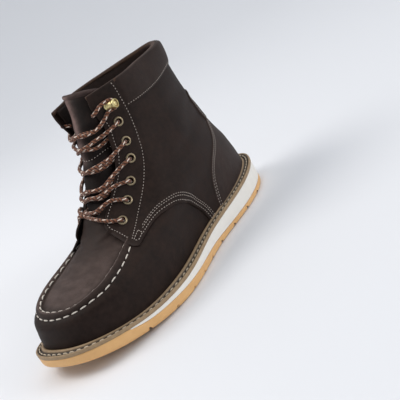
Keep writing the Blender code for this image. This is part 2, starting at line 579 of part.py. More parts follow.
def make_fittings():
    """Eyelets turned round their own axis, and a bent hook on each side."""
    # radius, distance above the quarter's face
    turned_line = [(EYELET_BORE, -3.3), (2.7, -3.3), (2.7, 0.5), (EYELET_R, 0.5), (3.4, 1.4), (EYELET_BORE, 1.1)]
    count = 6
    for name, t, z in eyelet_places():
        p, across, up, out = turned(t, z)
        seat = FACE + (HOLLOW_SEAT if z < THROAT_Z - 6 else 0.0)
        verts = [p + across * (r * math.cos(2 * math.pi * k / count)) + up * (r * math.sin(2 * math.pi * k / count)) + out * (seat + h)
                 for r, h in turned_line for k in range(count)]
        m = len(turned_line)
        faces = [(i * count + k, ((i + 1) % m) * count + k, ((i + 1) % m) * count + (k + 1) % count, i * count + (k + 1) % count)
                 for i in range(m) for k in range(count)]
        solid(name, verts, faces, BRASS_MAT)
    # strip bent to a hook: along the leather towards the throat, height above the leather
    bend = [(math.sin(a) * 3.0, 3.9 - math.cos(a) * 3.0) for a in np.linspace(0, math.pi, 6)]
    middle = [(-8.0, 0.9)] + [(x, h) for x, h in bend] + [(-7.0, 7.6)]
    thick, wide = 0.5, 3.4
    for side, word in ((1, "lateral"), (-1, "medial")):
        p, across, up, out = turned(side * HOOK[0], HOOK[1])
        back = across * side
        line = np.array(middle)
        step = np.gradient(line, axis=0)
        step /= np.linalg.norm(step, axis=1)[:, None]
        normal = np.stack([-step[:, 1], step[:, 0]], 1) * thick
        loop = np.concatenate([line + normal, (line - normal)[::-1]])
        n = len(loop)
        verts = [p + back * (a + 3.5) + out * (FACE + 0.3 + h) + up * w for w in (-wide, wide) for a, h in loop]
        faces = [(k, (k + 1) % n, n + (k + 1) % n, n + k) for k in range(n)]
        half = n // 2
        for o in (0, n):
            faces += [(o + k, o + k + 1, o + n - 2 - k, o + n - 1 - k) for k in range(half - 1)]
        solid("hook_" + word, verts, faces, BRASS_MAT)


def over(a, b, share, rise):
    """Point of a taut line between two places on the skin, lying on the skin."""
    pa, pb = skin(np.array([a[0], b[0]]), np.array([a[1], b[1]]), np.zeros(2))
    mid_t, mid_z = 0.0, (a[1] + b[1]) / 2 + 8
    _, _, _, out = turned(mid_t, mid_z)
    chord = pa + (pb - pa) * share
    guess = np.array([a[0] + (b[0] - a[0]) * share, a[1] + (b[1] - a[1]) * share + rise * 4 * share * (1 - share), 0.0])
    for _ in range(25):
        def miss(g):
            return level(g[0], g[1]) - chord - out * g[2]
        r = miss(guess)
        jac = np.stack([(miss(guess + d) - r) / s for d, s in ((np.array([1e-3, 0, 0]), 1e-3), (np.array([0, 0.05, 0]), 0.05), (np.array([0, 0, 0.1]), 0.1))], 1)
        guess = guess - 0.6 * np.linalg.solve(jac, r)
    return guess[0], guess[1]


def make_lace():
    """Lace from hook to hook over the tongue; the crossings are joined to one solid."""
    stops = [LACE_END] + EYELETS
    order = [(1 if k % 2 == 0 else -1, k) for k in range(7)]
    order += [(-1 if k % 2 == 0 else 1, k) for k in range(6, -1, -1)]
    tubes = []
    slit_z, slit_t = zip(*SLIT)
    for (sa, ka), (sb, kb) in zip(order, order[1:]):
        a, b = (sa * stops[ka][0], stops[ka][1]), (sb * stops[kb][0], stops[kb][1])
        shares = np.array([0, 0.17, 0.33, 0.5, 0.67, 0.83, 1])
        where = np.array([over(a, b, s, 8.0) for s in shares])
        where[0], where[-1] = a, b
        edge = np.interp(where[:, 1], slit_z, slit_t)
        edge = np.maximum(edge, 0.45)
        s = np.clip((np.abs(where[:, 0]) / edge - 0.25) / 0.45, 0, 1)
        rest = np.interp(where[:, 1], [86, 92], [2.2, 0.6])
        lift = rest + (FACE + LACE_R + 1.0 - rest) * s * s * (3 - 2 * s)
        lift += (1.6 + HOLLOW_SEAT * (where[:, 1] < THROAT_Z - 6)) * np.clip((np.abs(where[:, 0]) - edge) / 0.12, 0, 1)
        tubes.append(tube(skin(where[:, 0], where[:, 1], lift)))
    lace = tubes[0]
    boolean(lace, tubes[1:], "UNION")
    lace.name = lace.data.name = "lace"
    for t in tubes[1:]:
        bpy.data.objects.remove(t, do_unlink=True)


def tube(line, count=5):
    """Cord along a line with flat ends."""
    step = np.gradient(line, axis=0)
    step /= np.linalg.norm(step, axis=1)[:, None]
    line = np.concatenate([[line[0] - step[0] * 0.8], line[1:-1], [line[-1] + step[-1] * 0.8]])
    side = np.cross(step, [0.25, 0.1, 1.0])
    side /= np.linalg.norm(side, axis=1)[:, None]
    other = np.cross(step, side)
    angle = [2 * math.pi * (k + 0.5) / count for k in range(count)]
    verts = [p + LACE_R * (math.cos(a) * u + math.sin(a) * v) for p, u, v in zip(line, side, other) for a in angle]
    n = len(line)
    faces = [(i * count + k, i * count + (k + 1) % count, (i + 1) * count + (k + 1) % count, (i + 1) * count + k) for i in range(n - 1) for k in range(count)]
    faces += [tuple(range(count))[::-1], tuple(range((n - 1) * count, n * count))]
    return solid("cord", verts, faces, LACE_MAT)


make_sole()
make_panels(make_upper())
make_inside()
make_fittings()
make_lace()
CUTTERS.hide_render = True
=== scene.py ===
"""Looks of a left moc-toe work boot. Sizes in mm in the boot's own frame: +X toe, +Y outer side, +Z up."""
import math
from functools import partial
import bpy
import numpy as np
from mathutils import Matrix, Vector
from mathutils.geometry import delaunay_2d_cdt


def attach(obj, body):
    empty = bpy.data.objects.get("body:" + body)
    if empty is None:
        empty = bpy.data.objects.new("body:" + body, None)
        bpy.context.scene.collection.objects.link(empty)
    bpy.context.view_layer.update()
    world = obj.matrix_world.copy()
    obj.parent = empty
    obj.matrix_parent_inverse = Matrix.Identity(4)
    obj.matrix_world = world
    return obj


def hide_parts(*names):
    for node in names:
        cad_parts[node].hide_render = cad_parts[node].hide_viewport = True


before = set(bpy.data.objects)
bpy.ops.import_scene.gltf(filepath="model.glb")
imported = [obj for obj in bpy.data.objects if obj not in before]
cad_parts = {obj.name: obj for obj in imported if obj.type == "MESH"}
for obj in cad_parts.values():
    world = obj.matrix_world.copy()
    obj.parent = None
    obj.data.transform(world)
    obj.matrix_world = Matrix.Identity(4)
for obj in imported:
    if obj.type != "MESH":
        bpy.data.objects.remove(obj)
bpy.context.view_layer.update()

MM = 0.001
TURN = 2 * math.pi
CENTRE = np.array([0.0, 0.64, 0.0])      # puts the sole's outline on the middle of the frame
SIDES = ((1, "lateral"), (-1, "medial"))

# Skin of the last, one row per level section, as in the part's source
# height, back, front, widest, round_back, round_front, heel, waist, ball, toe (half widths)
SKIN = np.array([
    [10, -143.0, 145.0, 42, 2.50, 2.50, 44.0, 37.5, 48.0, 53.5],
    [20, -142.5, 144.0, 42, 2.50, 2.50, 43.5, 37.0, 49.0, 55.5],
    [35, -141.5, 142.0, 42, 2.50, 2.50, 42.5, 37.5, 49.5, 56.5],
    [46, -139.5, 137.0, 40, 2.50, 2.50, 42.0, 38.5, 49.0, 55.5],
    [54, -137.5, 121.5, 34, 2.50, 2.60, 41.0, 39.5, 48.0, 49.0],
    [60, -136.5, 99.0, 24, 2.45, 2.70, 39.5, 40.0, 46.0, 40.0],
    [68, -133.0, 73.0, 10, 2.40, 2.70, 38.0, 39.0, 43.0, 33.0],
    [78, -129.0, 57.5, -5, 2.35, 2.60, 36.0, 38.0, 40.0, 29.0],
    [90, -125.5, 47.0, -20, 2.30, 2.50, 33.5, 37.0, 37.5, 26.5],
    [102, -123.0, 39.5, -32, 2.25, 2.35, 31.5, 36.0, 35.5, 25.5],
    [116, -120.5, 30.0, -42, 2.20, 2.20, 29.5, 34.5, 34.5, 26.5],
    [132, -119.0, 21.5, -50, 2.15, 2.15, 28.5, 33.0, 34.5, 27.5],
    [150, -118.5, 15.5, -55, 2.10, 2.10, 27.5, 31.5, 35.5, 29.5],
    [170, -122.5, 12.5, -58, 2.10, 2.10, 27.5, 30.0, 36.5, 32.0],
    [190, -127.0, 12.0, -60, 2.10, 2.10, 29.0, 28.5, 37.5, 34.0]])
ALONG = [0.0, 0.13, 0.43, 0.67, 0.88, 1.0]     # heel end, heel, waist, ball, toe, toe end
SWING = [-1.0, 0.0, 3.5, 1.5, -5.5, -9.0]
SWING_GONE, SWING_FULL = 130.0, 30.0           # heights between which the foot's swing fades
LEAN_Z, LEAN = [10, 60, 110, 170, 190], [0, 0, -4, -8, -9]

# Sole, as in the part's source, apart from the line under the wedge, which lies up to 2.5 mm lower
SOLE_HALF, SOLE_WIDEST, SOLE_ROUND = 152.0, 45.0, 0.8
SOLE_OUTER = [52.5, 52.5, 47.0, 57.5, 57.0, 57.0]
SOLE_INNER = [52.5, 52.5, 38.0, 54.0, 59.5, 59.5]
SOLE_SWING = [0, 0, 0, 0, -5.7, -9.5]
TOP_X, TOP_Z = [-152, -80, -20, 50, 90, 152], [24.5, 19.5, 16.2, 13.0, 13.2, 21.5]
WEDGE_X = [-152, -110, -75, -40, -10, 10, 25, 40, 60, 75, 100, 114]
WEDGE_Z = [5.9, 5.2, 4.7, 4.9, 6.2, 6.7, 6.9, 7.4, 8.3, 9.0, 11.2, 14.6]
WEDGE_TIP = 114.0
TOE_SPRING, SPRING_FROM = 13.5, 50.0
HEEL_LIFT, LIFT_FROM = 1.3, -120.0
# groove, place along the sole, bare half width in the middle
GROOVES = [(-103, 0), (-76, 0), (-48, 0), (-21, 17), (3, 0), (28, 0), (52, 0), (76, 0), (100, 0)]
GROOVE_DEEP, GROOVE_FRONT, GROOVE_REAR, GROOVE_PAST = 2.8, 1.6, 3.4, 2.0
ZIG_STEP, ZIG_REACH, ZIG_SLANT = 12.0, 4.2, -0.06

# Distances from the skin
BASE, WALL = -0.8, 2.0           # outer face and thickness of the upper
UNDERSIDE = BASE + 0.15          # back of the panels that lie on it
FACE = 1.0                       # outer face of the quarters
HEEL_FACE, STAY_FACE = 1.8, 2.5  # counter, and the rear stay above it
CUFF_FACE, CUFF_PAD, CUFF_INSIDE, CUFF_THICK = 1.6, 1.6, 3.4, 1.2
TONGUE_FACE, TONGUE_THICK = -6.6, 2.2

# Heights of the collar over x, and its dip at the heel
COLLAR_X, COLLAR_Z = [-135, -60, 15], [174.5, 171.5, 169.5]
COLLAR_DIP, DIP_FROM, DIP_FULL = 2.0, -60.0, -110.0
THROAT_Z = 84.0
FEATHER = 1.2                    # the panels' lower edge lies this much above the sole

# Lines on the skin as (angle, height); the inner side mirrors the outer side
SLIT = [(84, 0.0), (86, 0.30), (89, 0.50), (94, 0.66), (101, 0.79), (112, 0.82), (125, 0.78),
        (140, 0.75), (151, 0.69), (160, 0.65), (190, 0.65)]          # height, angle
FRONT_EDGE = [(0.62, 170), (0.61, 158.5), (0.66, 151), (0.72, 140.5), (0.75, 126.5), (0.79, 114.5),
              (0.77, 102.5), (0.67, 95), (0.60, 90.5), (0.47, 83.6), (0.43, 77.6), (0.54, 72.8),
              (0.73, 68.8), (0.92, 65.2), (1.10, 61.2), (1.20, 58.4)]
ARC_EDGE = [(1.20, 58.4), (1.28, 57.0), (1.34, 58.6), (1.42, 61), (1.49, 62.4), (1.56, 62.4),
            (1.61, 61), (1.66, 58.4), (1.72, 54.2), (1.77, 50), (1.83, 39.2), (1.86, 30), (1.875, 20)]
COUNTER_EDGE = [(1.98, 17), (2.00, 28.4), (2.03, 40.4), (2.07, 50.8), (2.14, 60), (2.27, 67.2), (2.40, 74.5),
                (2.52, 82.5), (2.62, 87.0)]
COUNTER_CROWN = [(2.8, 88.6), (math.pi, 89.0), (TURN - 2.8, 88.6)]
STAY_EDGE = [(2.56, 84), (2.54, 104), (2.58, 114), (2.66, 118.0)]
STAY_FOOT = [(2.9, 86.0), (math.pi, 86.4), (TURN - 2.9, 86.0)]
STAY_TOP = (math.pi, 119.2)
CUFF_START = 1.05                # angle of the cuff's front edge
CUFF_SEAM = [(1.10, 145.2), (1.39, 145.0), (1.63, 145.0), (1.87, 146.2), (2.22, 148.6), (math.pi, 150)]
EYESTAY_ROW = [(1.035, 170), (1.05, 166.8), (1.07, 156.8), (1.10, 145.2), (1.14, 131.2), (1.18, 117.2),
               (1.23, 104), (1.25, 93.6), (1.25, 83.2), (1.22, 72), (1.20, 64.4), (1.18, 61)]
TAB_BOX = [(1.21, 60.2), (1.275, 58.6), (1.325, 60.6), (1.26, 63.0)]
# rest of the quarter's outline: foot, hidden under the counter, back seam, hidden under the cuff, top corner
FOOT_ANGLES = (ARC_EDGE[-1][0], 2.04)
UNDER_COUNTER = [(t + 0.05, z) for t, z in COUNTER_EDGE[1:]] + [(2.72, 100), (3.10, 104)]
BACK_SEAM = [(3.10, 104), (3.135, 120), (3.135, 152)]
BY_CUFF = [(1.14, 149), (1.10, 158)]
UNDER_CUFF = [BACK_SEAM[-1]] + [(t, z + 3.0) for t, z in CUFF_SEAM[-2:0:-1]] + BY_CUFF[:1]
TOP_CORNER, TOP_PAST = 1.09, 0.3
# moc seam: angle, height of the outer stitches, height of the inner stitches
MOC = [(0.0, 47.2, 50.6), (0.15, 47.3, 50.6), (0.30, 47.6, 50.7), (0.50, 48.4, 52.0), (0.62, 49.2, 53.2),
       (0.74, 49.8, 54.4), (0.83, 50.7, 56.2), (0.94, 52.8, 58.6), (1.03, 54.9, 62.0), (1.12, 58.0, 66.0),
       (1.20, 62.0, 71.0)]
MOC_INNER_SIDE = 0.8             # the seam runs this much higher on the inner side
MOC_END, MOC_INNER_END = 1.16, 1.10
RIDGE, RIDGE_GROOVE, PLUG_DROP = 2.1, 0.6, 2.6
GATHER, GATHER_RATE = 0.18, 150.0
PLUG_WEAR_AND_SHEEN = [50, 56, 63, 68, 80], [0.9, 1.0, 0.75, 0.3, 0.05]     # paleness of the plug over height: rubbed nap and painted sheen, most low at the toe's front

# Inner side's loose front edge: angle its top lies forward, and how far its corner and its lobe stand off
FORWARD, FLARE, LOBE = 0.11, 5.0, 3.2

# Creases: angle, height, slope of the line, half length (angle), half width, depth
CREASES = [
    (1.75, 101.0, -6.0, 0.55, 5.5, 0.9), (2.15, 93.0, 8.0, 0.45, 6.0, 0.8),
    (1.55, 88.0, -10.0, 0.40, 5.0, 0.7), (2.45, 108.0, 5.0, 0.45, 6.5, 0.8),
    (1.90, 122.0, 4.0, 0.60, 9.0, 0.6), (1.62, 74.0, -4.0, 0.35, 5.0, 0.6),
    (0.35, 62.0, 3.0, 0.40, 1.3, 0.9), (0.22, 65.6, -3.0, 0.40, 0.9, 0.9), (0.45, 70.0, 4.0, 0.35, 1.6, 0.8),
    (1.45, 44.0, 12.0, 0.35, 5.0, 0.5), (1.05, 40.0, 10.0, 0.30, 5.0, 0.4)]
# ridge above each trough: share of its depth, place in half widths
CREASE_RIDGE, CREASE_RIDGE_AT = 0.55, 1.7

# Eyelets from the top, hook above them
EYELETS = [(0.95, 138.8), (1.00, 122.0), (1.05, 108.4), (1.05, 93.6), (1.00, 82.8), (0.91, 73.2)]
HOOK, HOOK_FORWARD, HOOK_LEAN = (0.92, 154.4), 0.035, math.radians(40)
EYELET_HOLE = 2.9
# turned profiles: radius, height over the leather
EYELET_PROFILE = [(2.45, -3.6), (2.45, 0.2), (2.65, 0.7), (3.1, 1.0), (3.7, 0.9), (4.2, 0.5), (4.35, 0.0),
                  (4.1, -0.25), (2.8, -0.3), (2.7, -3.6), (2.45, -3.6)]
HOOK_PLATE = [(0.0, 0.0), (4.3, 0.0), (4.4, 0.3), (4.2, 0.7), (3.6, 0.95), (0.0, 1.0)]
HOOK_STUD = [(0.0, 0.2), (3.9, 0.2), (3.8, 1.4), (3.5, 2.4), (3.45, 5.4), (3.7, 6.0), (4.15, 6.4),
             (4.25, 7.0), (4.15, 7.8), (3.8, 8.3), (3.4, 8.4), (3.15, 8.1), (3.0, 6.9), (2.3, 6.8),
             (2.1, 7.7), (1.6, 8.0), (0.0, 8.1)]

# Lace strands of the outer side: way over the throat as (angle, height), from the hook or eyelet on
LACE_R = 1.65
STRANDS = [
    [(0.84, 150.0), (0.76, 146.8), (0.53, 142.4), (0.29, 143.2), (-0.09, 145.4), (-0.45, 144.0)],
    [(0.83, 137.2), (0.66, 136.0), (0.49, 135.6), (0.25, 134.4), (0.0, 134.0), (-0.40, 131.0)],
    [(0.83, 119.2), (0.68, 117.6), (0.42, 117.2), (0.16, 117.2), (-0.15, 116.5), (-0.45, 115.0)],
    [(0.88, 106.8), (0.70, 104.4), (0.44, 101.2), (0.21, 102.4), (0.0, 103.6), (-0.40, 101.5)],
    [(0.89, 95.6), (0.70, 97.2), (0.51, 96.8), (0.32, 96.8), (0.0, 98.4), (-0.35, 96.0)],
    [(0.79, 86.8), (0.63, 89.2), (0.44, 88.8), (0.22, 87.6), (0.0, 88.4), (-0.35, 89.5)],
    [(0.80, 74.4), (0.66, 76.0), (0.40, 79.6), (0.16, 83.2), (-0.08, 86.0), (-0.45, 87.5)]]
# the inner side's lowest strand has a way of its own
LOWEST_INNER = [(0.82, 75.5), (0.70, 79.5), (0.55, 83.5), (0.35, 86.0), (0.10, 87.5), (-0.30, 88.0)]
# end of the lace, round the hook and in behind the edge: angle, height, distance from the quarter's face
LACE_END = [(0.985, 153.5, 3.0), (0.94, 157.6, 2.8), (0.86, 158.6, 2.3), (0.76, 158.0, 2.2),
            (0.685, 156.2, 2.2), (0.635, 154.6, 1.4), (0.60, 153.8, -2.5)]
LACE_TUCK = (0.63, 152.0)

# Tongue: half angle over height; bend, half width, shift to the outer side and depth of its free top
TONGUE_EDGE = [(78, 0.10), (80, 0.36), (83, 0.55), (91, 0.74), (101, 0.90), (112, 0.96), (125, 0.95),
               (145, 0.90), (162, 0.84), (171, 0.78), (180, 0.66)]
TONGUE_R, TONGUE_HALF, TONGUE_ASIDE = 18.0, 29.0, 2.5
TONGUE_DEEP_Z, TONGUE_DEEP = [150, 176], [6.0, 13.0]
TONGUE_FOOT, TONGUE_FREE, TONGUE_TOP = 78.5, 150.0, 176.3
TONGUE_PEAK, TONGUE_FALL = -0.3, (6.0 / 1.3, 9.0 / 0.7)   # its top edge falls to either side of this place
TONGUE_HIGHLIGHT_AT = -0.24              # where across the tongue a highlight is painted down its face
TONGUE_SEAM = 125.6
TONGUE_SWELL = 3.2               # its inner half bulges up to the laces

# Padding and rolled edge of the collar
HEEL_PAD = 5.0                   # extra padding inside the collar at the heel
ROLL_R = 1.7
ROLL_ENDS = (0.61, TURN - 0.51)

# Wear of the heel's panels and of the cuff, from 0 to 1
HEEL_WEAR, CUFF_WEAR = 0.28, 0.18

# Stitches: pitch, length, radius of the thread
FINE = (2.7, 1.5, 0.35)
TAB = (2.4, 1.9, 0.35)
HEAVY = (7.9, 6.0, 0.60)
WELTED = (6.4, 4.4, 0.66)
SUNK = 0.1                       # fine stitches lie this much below a panel's face
ROW_INSET = {"front": (1.7, 3.0), "arc": (1.7, 4.0, 5.4), "counter": (1.8, 4.6), "stay": 2.0, "cuff": 1.6}


# Curves and surfaces

SETTLE = 14                      # rounds in which a height settles on a line


def slopes(x, y):
    """Steps of a table, and its slope at each entry."""
    h = np.diff(x)
    wide = (-1,) + (1,) * (y.ndim - 1)
    d = np.diff(y, axis=0) / h.reshape(wide)
    share = (h[1:] / (h[1:] + h[:-1])).reshape(wide)
    return h, np.concatenate([d[:1], share * d[:-1] + (1 - share) * d[1:], d[-1:]])


def cubic(t, step, low, high, low_slope, high_slope):
    """Value between two entries of a table, from their values and slopes."""
    return ((1 + 2 * t) * (1 - t) ** 2 * low + t * (1 - t) ** 2 * step * low_slope
            + t * t * (3 - 2 * t) * high + t * t * (t - 1) * step * high_slope)


def smooth(xs, ys, q):
    """Smooth curve through a table; ys may have several columns."""
    x, y = np.asarray(xs, float), np.asarray(ys, float)
    h, m = slopes(x, y)
    q = np.clip(np.asarray(q, float), x[0], x[-1])
    i = np.clip(np.searchsorted(x, q, side="right") - 1, 0, len(x) - 2)
    t, step = (q - x[i]) / h[i], h[i]
    if y.ndim > 1:
        t, step = t[..., None], step[..., None]
    return cubic(t, step, y[i], y[i + 1], m[i], m[i + 1])


def half_width(widths, u):
    """Half width along the foot: one smooth curve per point through its own section's widths."""
    x, w = np.array(ALONG), widths[..., [0, 0, 1, 2, 3, 3]].reshape(-1, len(ALONG)).T
    h, m = slopes(x, w)
    q = u.reshape(-1)
    i = np.clip(np.searchsorted(x, q, side="right") - 1, 0, len(x) - 2)
    n = np.arange(len(q))
    return cubic((q - x[i]) / h[i], h[i], w[i, n], w[i + 1, n], m[i, n], m[i + 1, n]).reshape(u.shape)


def ramp(value, start, end):
    """Share of the way from start to end, from 0 to 1."""
    return np.clip((value - start) / (end - start), 0, 1)


def ease(share):
    """The same share with a soft start and end."""
    return share * share * (3 - 2 * share)


def trough(value, centre, width):
    return np.exp(-((value - centre) / width) ** 2)


def unit(vectors):
    return vectors / np.linalg.norm(vectors, axis=-1)[..., None]


def from_toe(theta):
    """Angle from the toe, the same on both sides."""
    return np.abs((theta + math.pi) % TURN - math.pi)


def level(theta, z):
    """Point of the skin at an angle and a height (0 toe, +pi/2 outer side, pi heel)."""
    theta, z = np.broadcast_arrays(np.asarray(theta, float), np.asarray(z, float))
    row = smooth(SKIN[:, 0], SKIN[:, 1:], z)
    back, front, mid, round_back, round_front = np.moveaxis(row[..., :5], -1, 0)
    c, s = np.cos(theta), np.sin(theta)
    power = 2 / np.where(c >= 0, round_front, round_back)
    x = mid + np.sign(c) * np.where(c >= 0, front - mid, mid - back) * np.abs(c) ** power
    u = np.clip((x - back) / (front - back), 0, 1)
    swing = smooth(ALONG, SWING, u) * ease(ramp(z, SWING_GONE, SWING_FULL)) + smooth(LEAN_Z, LEAN, z) * u
    y = np.sign(s) * np.abs(s) ** power * half_width(row[..., 5:], u) + swing
    return np.stack([x, y, z], -1)


def outward(theta, z):
    """Outward normal of the skin."""
    dt, dz = 0.02, 0.8
    theta, z = np.asarray(theta, float), np.asarray(z, float)
    around = level(theta + dt, z) - level(theta - dt, z)
    return unit(np.cross(around, level(theta, z + dz) - level(theta, z - dz)))


def skin(theta, z, out=0.0):
    """Point at a distance outside the skin, along its normal, with the creases of the leather."""
    theta, z = np.broadcast_arrays(np.asarray(theta, float), np.asarray(z, float))
    lift = np.broadcast_to(np.asarray(out, float), theta.shape) + creases(theta, z)
    return level(theta, z) + outward(theta, z) * lift[..., None]


def creases(theta, z):
    """Soft troughs with a low ridge above each, on both sides, and the inner side's flared front corner."""
    t = from_toe(theta)
    lift = FLARE * ease(ramp(z, 138, 168) * ramp(t, 1.0, 0.55) * (np.sin(theta) < 0))
    for angle, height, slope, reach, width, deep in CREASES:
        line = height + slope * (t - angle)
        across = CREASE_RIDGE * trough(z, line + CREASE_RIDGE_AT * width, width) - trough(z, line, width)
        lift = lift + deep * np.exp(-((t - angle) / reach) ** 4) * across
    return lift


def at_line(theta, line, start):
    """Height on the skin where it meets a line given as height over x."""
    z = np.full(np.shape(theta), float(start))
    for _ in range(SETTLE):
        z = 0.5 * z + 0.5 * line(level(theta, z)[..., 0])
    return z


def sole_top(x):
    return smooth(TOP_X, TOP_Z, x)


def sole_bottom(x):
    x = np.asarray(x, float)
    return TOE_SPRING * ramp(x, SPRING_FROM, SOLE_HALF) ** 2 + HEEL_LIFT * ramp(x, LIFT_FROM, -SOLE_HALF) ** 2


def wedge_line(x):
    return smooth(WEDGE_X, WEDGE_Z, x)


def above_sole(theta, height, start=20):
    """Height on the skin at a distance above the sole."""
    return at_line(theta, lambda x: sole_top(x) + height, start)


def collar(theta):
    """Height of the collar's top edge."""
    dip = lambda x: COLLAR_DIP * ramp(x, DIP_FROM, DIP_FULL)
    return at_line(theta, lambda x: smooth(COLLAR_X, COLLAR_Z, x) - dip(x), 170)


def sole_edge(theta, inset=0.0):
    """Outline of the sole in plan."""
    theta = np.asarray(theta, float)
    c, s = np.cos(theta), np.sin(theta)
    reach = np.where(c >= 0, SOLE_HALF - SOLE_WIDEST, SOLE_HALF + SOLE_WIDEST)
    x = SOLE_WIDEST + np.sign(c) * reach * np.abs(c) ** SOLE_ROUND
    u = (x + SOLE_HALF) / (2 * SOLE_HALF)
    half = np.where(s >= 0, smooth(ALONG, SOLE_OUTER, u), smooth(ALONG, SOLE_INNER, u))
    edge = np.stack([x, np.sign(s) * np.abs(s) ** SOLE_ROUND * half + smooth(ALONG, SOLE_SWING, u)], -1)
    if inset:
        along = unit(sole_edge(theta + 0.01) - sole_edge(theta - 0.01))
        edge = edge + inset * np.stack([-along[..., 1], along[..., 0]], -1)
    return edge


# Materials


def colour(text):
    """sRGB hex to linear RGBA."""
    rgb = [int(text[k:k + 2], 16) / 255 for k in (1, 3, 5)]
    return tuple(c / 12.92 if c <= 0.04045 else ((c + 0.055) / 1.055) ** 2.4 for c in rgb) + (1.0,)


def every(size):
    """Scale of a pattern whose marks lie this many mm apart."""
    return 1 / (size * MM)


def feed(node, inputs):
    """Sets a node's sockets, each to a value, to a socket or to the first output of another node."""
    for socket, value in inputs.items():
        if isinstance(value, bpy.types.Node):
            value = next(out for out in value.outputs if out.enabled)
        if isinstance(value, bpy.types.NodeSocket):
            node.id_data.links.new(value, node.inputs[socket])
        else:
            node.inputs[socket].default_value = value
    return node


def add_node(tree, kind, inputs, **settings):
    """Adds a shader node of a kind."""
    made = tree.nodes.new("ShaderNode" + kind)
    for key, value in settings.items():
        setattr(made, key, value)
    return feed(made, inputs)


def start_material(name, roughness, **sockets):
    """New material, its shader, its Object coordinates, and add_node for its tree."""
    mat = bpy.data.materials.new(name)
    mat.use_nodes = True
    add = partial(add_node, mat.node_tree)
    shader = mat.node_tree.nodes["Principled BSDF"]
    feed(shader, {"Roughness": roughness, **{key.replace("_", " "): value for key, value in sockets.items()}})
    return mat, shader, add("TexCoord", {}).outputs["Object"], add


def oiled_leather(name, dark, mid, light, wear_and_highlight_tone, roughness=0.58):
    """Oiled nubuck: a fine nap, cloudy pull-up colour, and a paler tone where edges are worn and where a
    highlight or sheen is painted on the plug, the moc ridge and the tongue.
    """
    mat, shader, place, add = start_material(
        name, roughness, Sheen_Weight=0.02, Sheen_Roughness=0.4, Specular_IOR_Level=0.13)
    cloud = add("TexNoise", {"Vector": place, "Scale": every(22), "Detail": 4.0, "Roughness": 0.6})
    patch = add("TexNoise", {"Vector": place, "Scale": every(4), "Detail": 3.0})
    tone = add("ValToRGB", {"Fac": cloud})
    for stop, position, shade in zip(tone.color_ramp.elements, (0.35, 0.70), (dark, mid)):
        stop.position, stop.color = position, colour(shade)
    fleck = add("MapRange", {"Value": patch, "From Min": 0.3, "From Max": 0.75, "To Max": 0.17})
    toned = add("Mix", {"Factor": fleck, "A": tone, "B": colour(light)}, data_type="RGBA")
    # worn places and painted highlights are brushed across the foot
    wear_and_highlight = add("Attribute", {}, attribute_name="wear_and_highlight").outputs["Fac"]
    drawn_out = add("VectorMath", {0: place, 1: (0.9, 0.45, 0.9)}, operation="MULTIPLY")
    brushed = add("TexNoise", {"Vector": drawn_out, "Scale": every(5.5), "Detail": 5.0, "Roughness": 0.7})
    amount = add("MapRange", {"Value": brushed, "From Min": 0.3, "From Max": 0.7,
                              "To Min": 0.16, "To Max": 0.38})
    wear_and_highlight_share = add("Math", {0: wear_and_highlight, 1: amount}, operation="MULTIPLY", use_clamp=True)
    final = add("Mix", {"Factor": wear_and_highlight_share, "A": toned, "B": colour(wear_and_highlight_tone)}, data_type="RGBA")
    rough = add("MapRange", {"Value": patch, "To Min": roughness - 0.08, "To Max": roughness + 0.10})
    # pebbled grain of 1.1 mm and a nap of 0.5 mm over a soft unevenness
    grain = add("TexVoronoi", {"Vector": place, "Scale": every(1.1)}, feature="SMOOTH_F1")
    nap = add("TexNoise", {"Vector": place, "Scale": every(0.5), "Detail": 2.0})
    pores = add("Bump", {"Height": grain, "Strength": 0.22, "Distance": 0.0004})
    fine = add("Bump", {"Height": nap, "Strength": 0.18, "Distance": 0.0003, "Normal": pores})
    soft = add("Bump", {"Height": cloud, "Strength": 0.25, "Distance": 0.0012, "Normal": fine})
    feed(shader, {"Base Color": final, "Roughness": rough, "Normal": soft})
    return mat


def lining_cloth():
    """Dark knitted lining, 1.2 mm loops."""
    mat, shader, place, add = start_material("knitted_lining", 0.9, Specular_IOR_Level=0.2)
    loops = add("TexVoronoi", {"Vector": place, "Scale": every(1.2)})
    tone = add("Mix", {"Factor": loops, "A": colour("#2a2320"), "B": colour("#181412")}, data_type="RGBA")
    bump = add("Bump", {"Height": loops, "Strength": 0.4, "Distance": 0.0005})
    feed(shader, {"Base Color": tone, "Normal": bump})
    return mat


def moulded_rubber(name, main, other, roughness, pinholes=False):
    """Moulded sole compound: a faint mottle and a fine skin; the tread also has rows of pinholes."""
    mat, shader, place, add = start_material(name, roughness, Specular_IOR_Level=0.35)
    mottle = add("TexNoise", {"Vector": place, "Scale": every(12), "Detail": 5.0, "Roughness": 0.65})
    final = add("Mix", {"Factor": mottle, "A": colour(main), "B": colour(other)}, data_type="RGBA")
    mould = add("TexNoise", {"Vector": place, "Scale": every(0.9), "Detail": 2.0})
    bump = add("Bump", {"Height": mould, "Strength": 0.15, "Distance": 0.0004})
    if pinholes:
        # holes of about 1 mm, 5.2 mm apart, on the ground face only, each a dent with painted shade in it
        spread = add("VectorMath", {0: place, 1: (every(5.2), every(5.2), 0.0)}, operation="MULTIPLY")
        dots = add("TexVoronoi", {"Vector": spread, "Scale": 1.0, "Randomness": 0.55},
                   voronoi_dimensions="2D")
        hole = add("MapRange", {"Value": dots, "From Min": 0.08, "From Max": 0.15,
                                "To Min": 0.8, "To Max": 0.0})
        normal = add("NewGeometry", {}).outputs["Normal"]
        upward = add("SeparateXYZ", {"Vector": normal}).outputs["Z"]
        down = add("Math", {0: upward, 1: -0.8}, operation="LESS_THAN")
        mask = add("Math", {0: hole, 1: down}, operation="MULTIPLY")
        final = add("Mix", {"Factor": mask, "A": final, "B": colour("#8a5c34")}, data_type="RGBA")
        bump = add("Bump", {"Height": mask, "Strength": 0.8, "Distance": 0.0006, "Normal": bump}, invert=True)
    feed(shader, {"Base Color": final, "Normal": bump})
    return mat


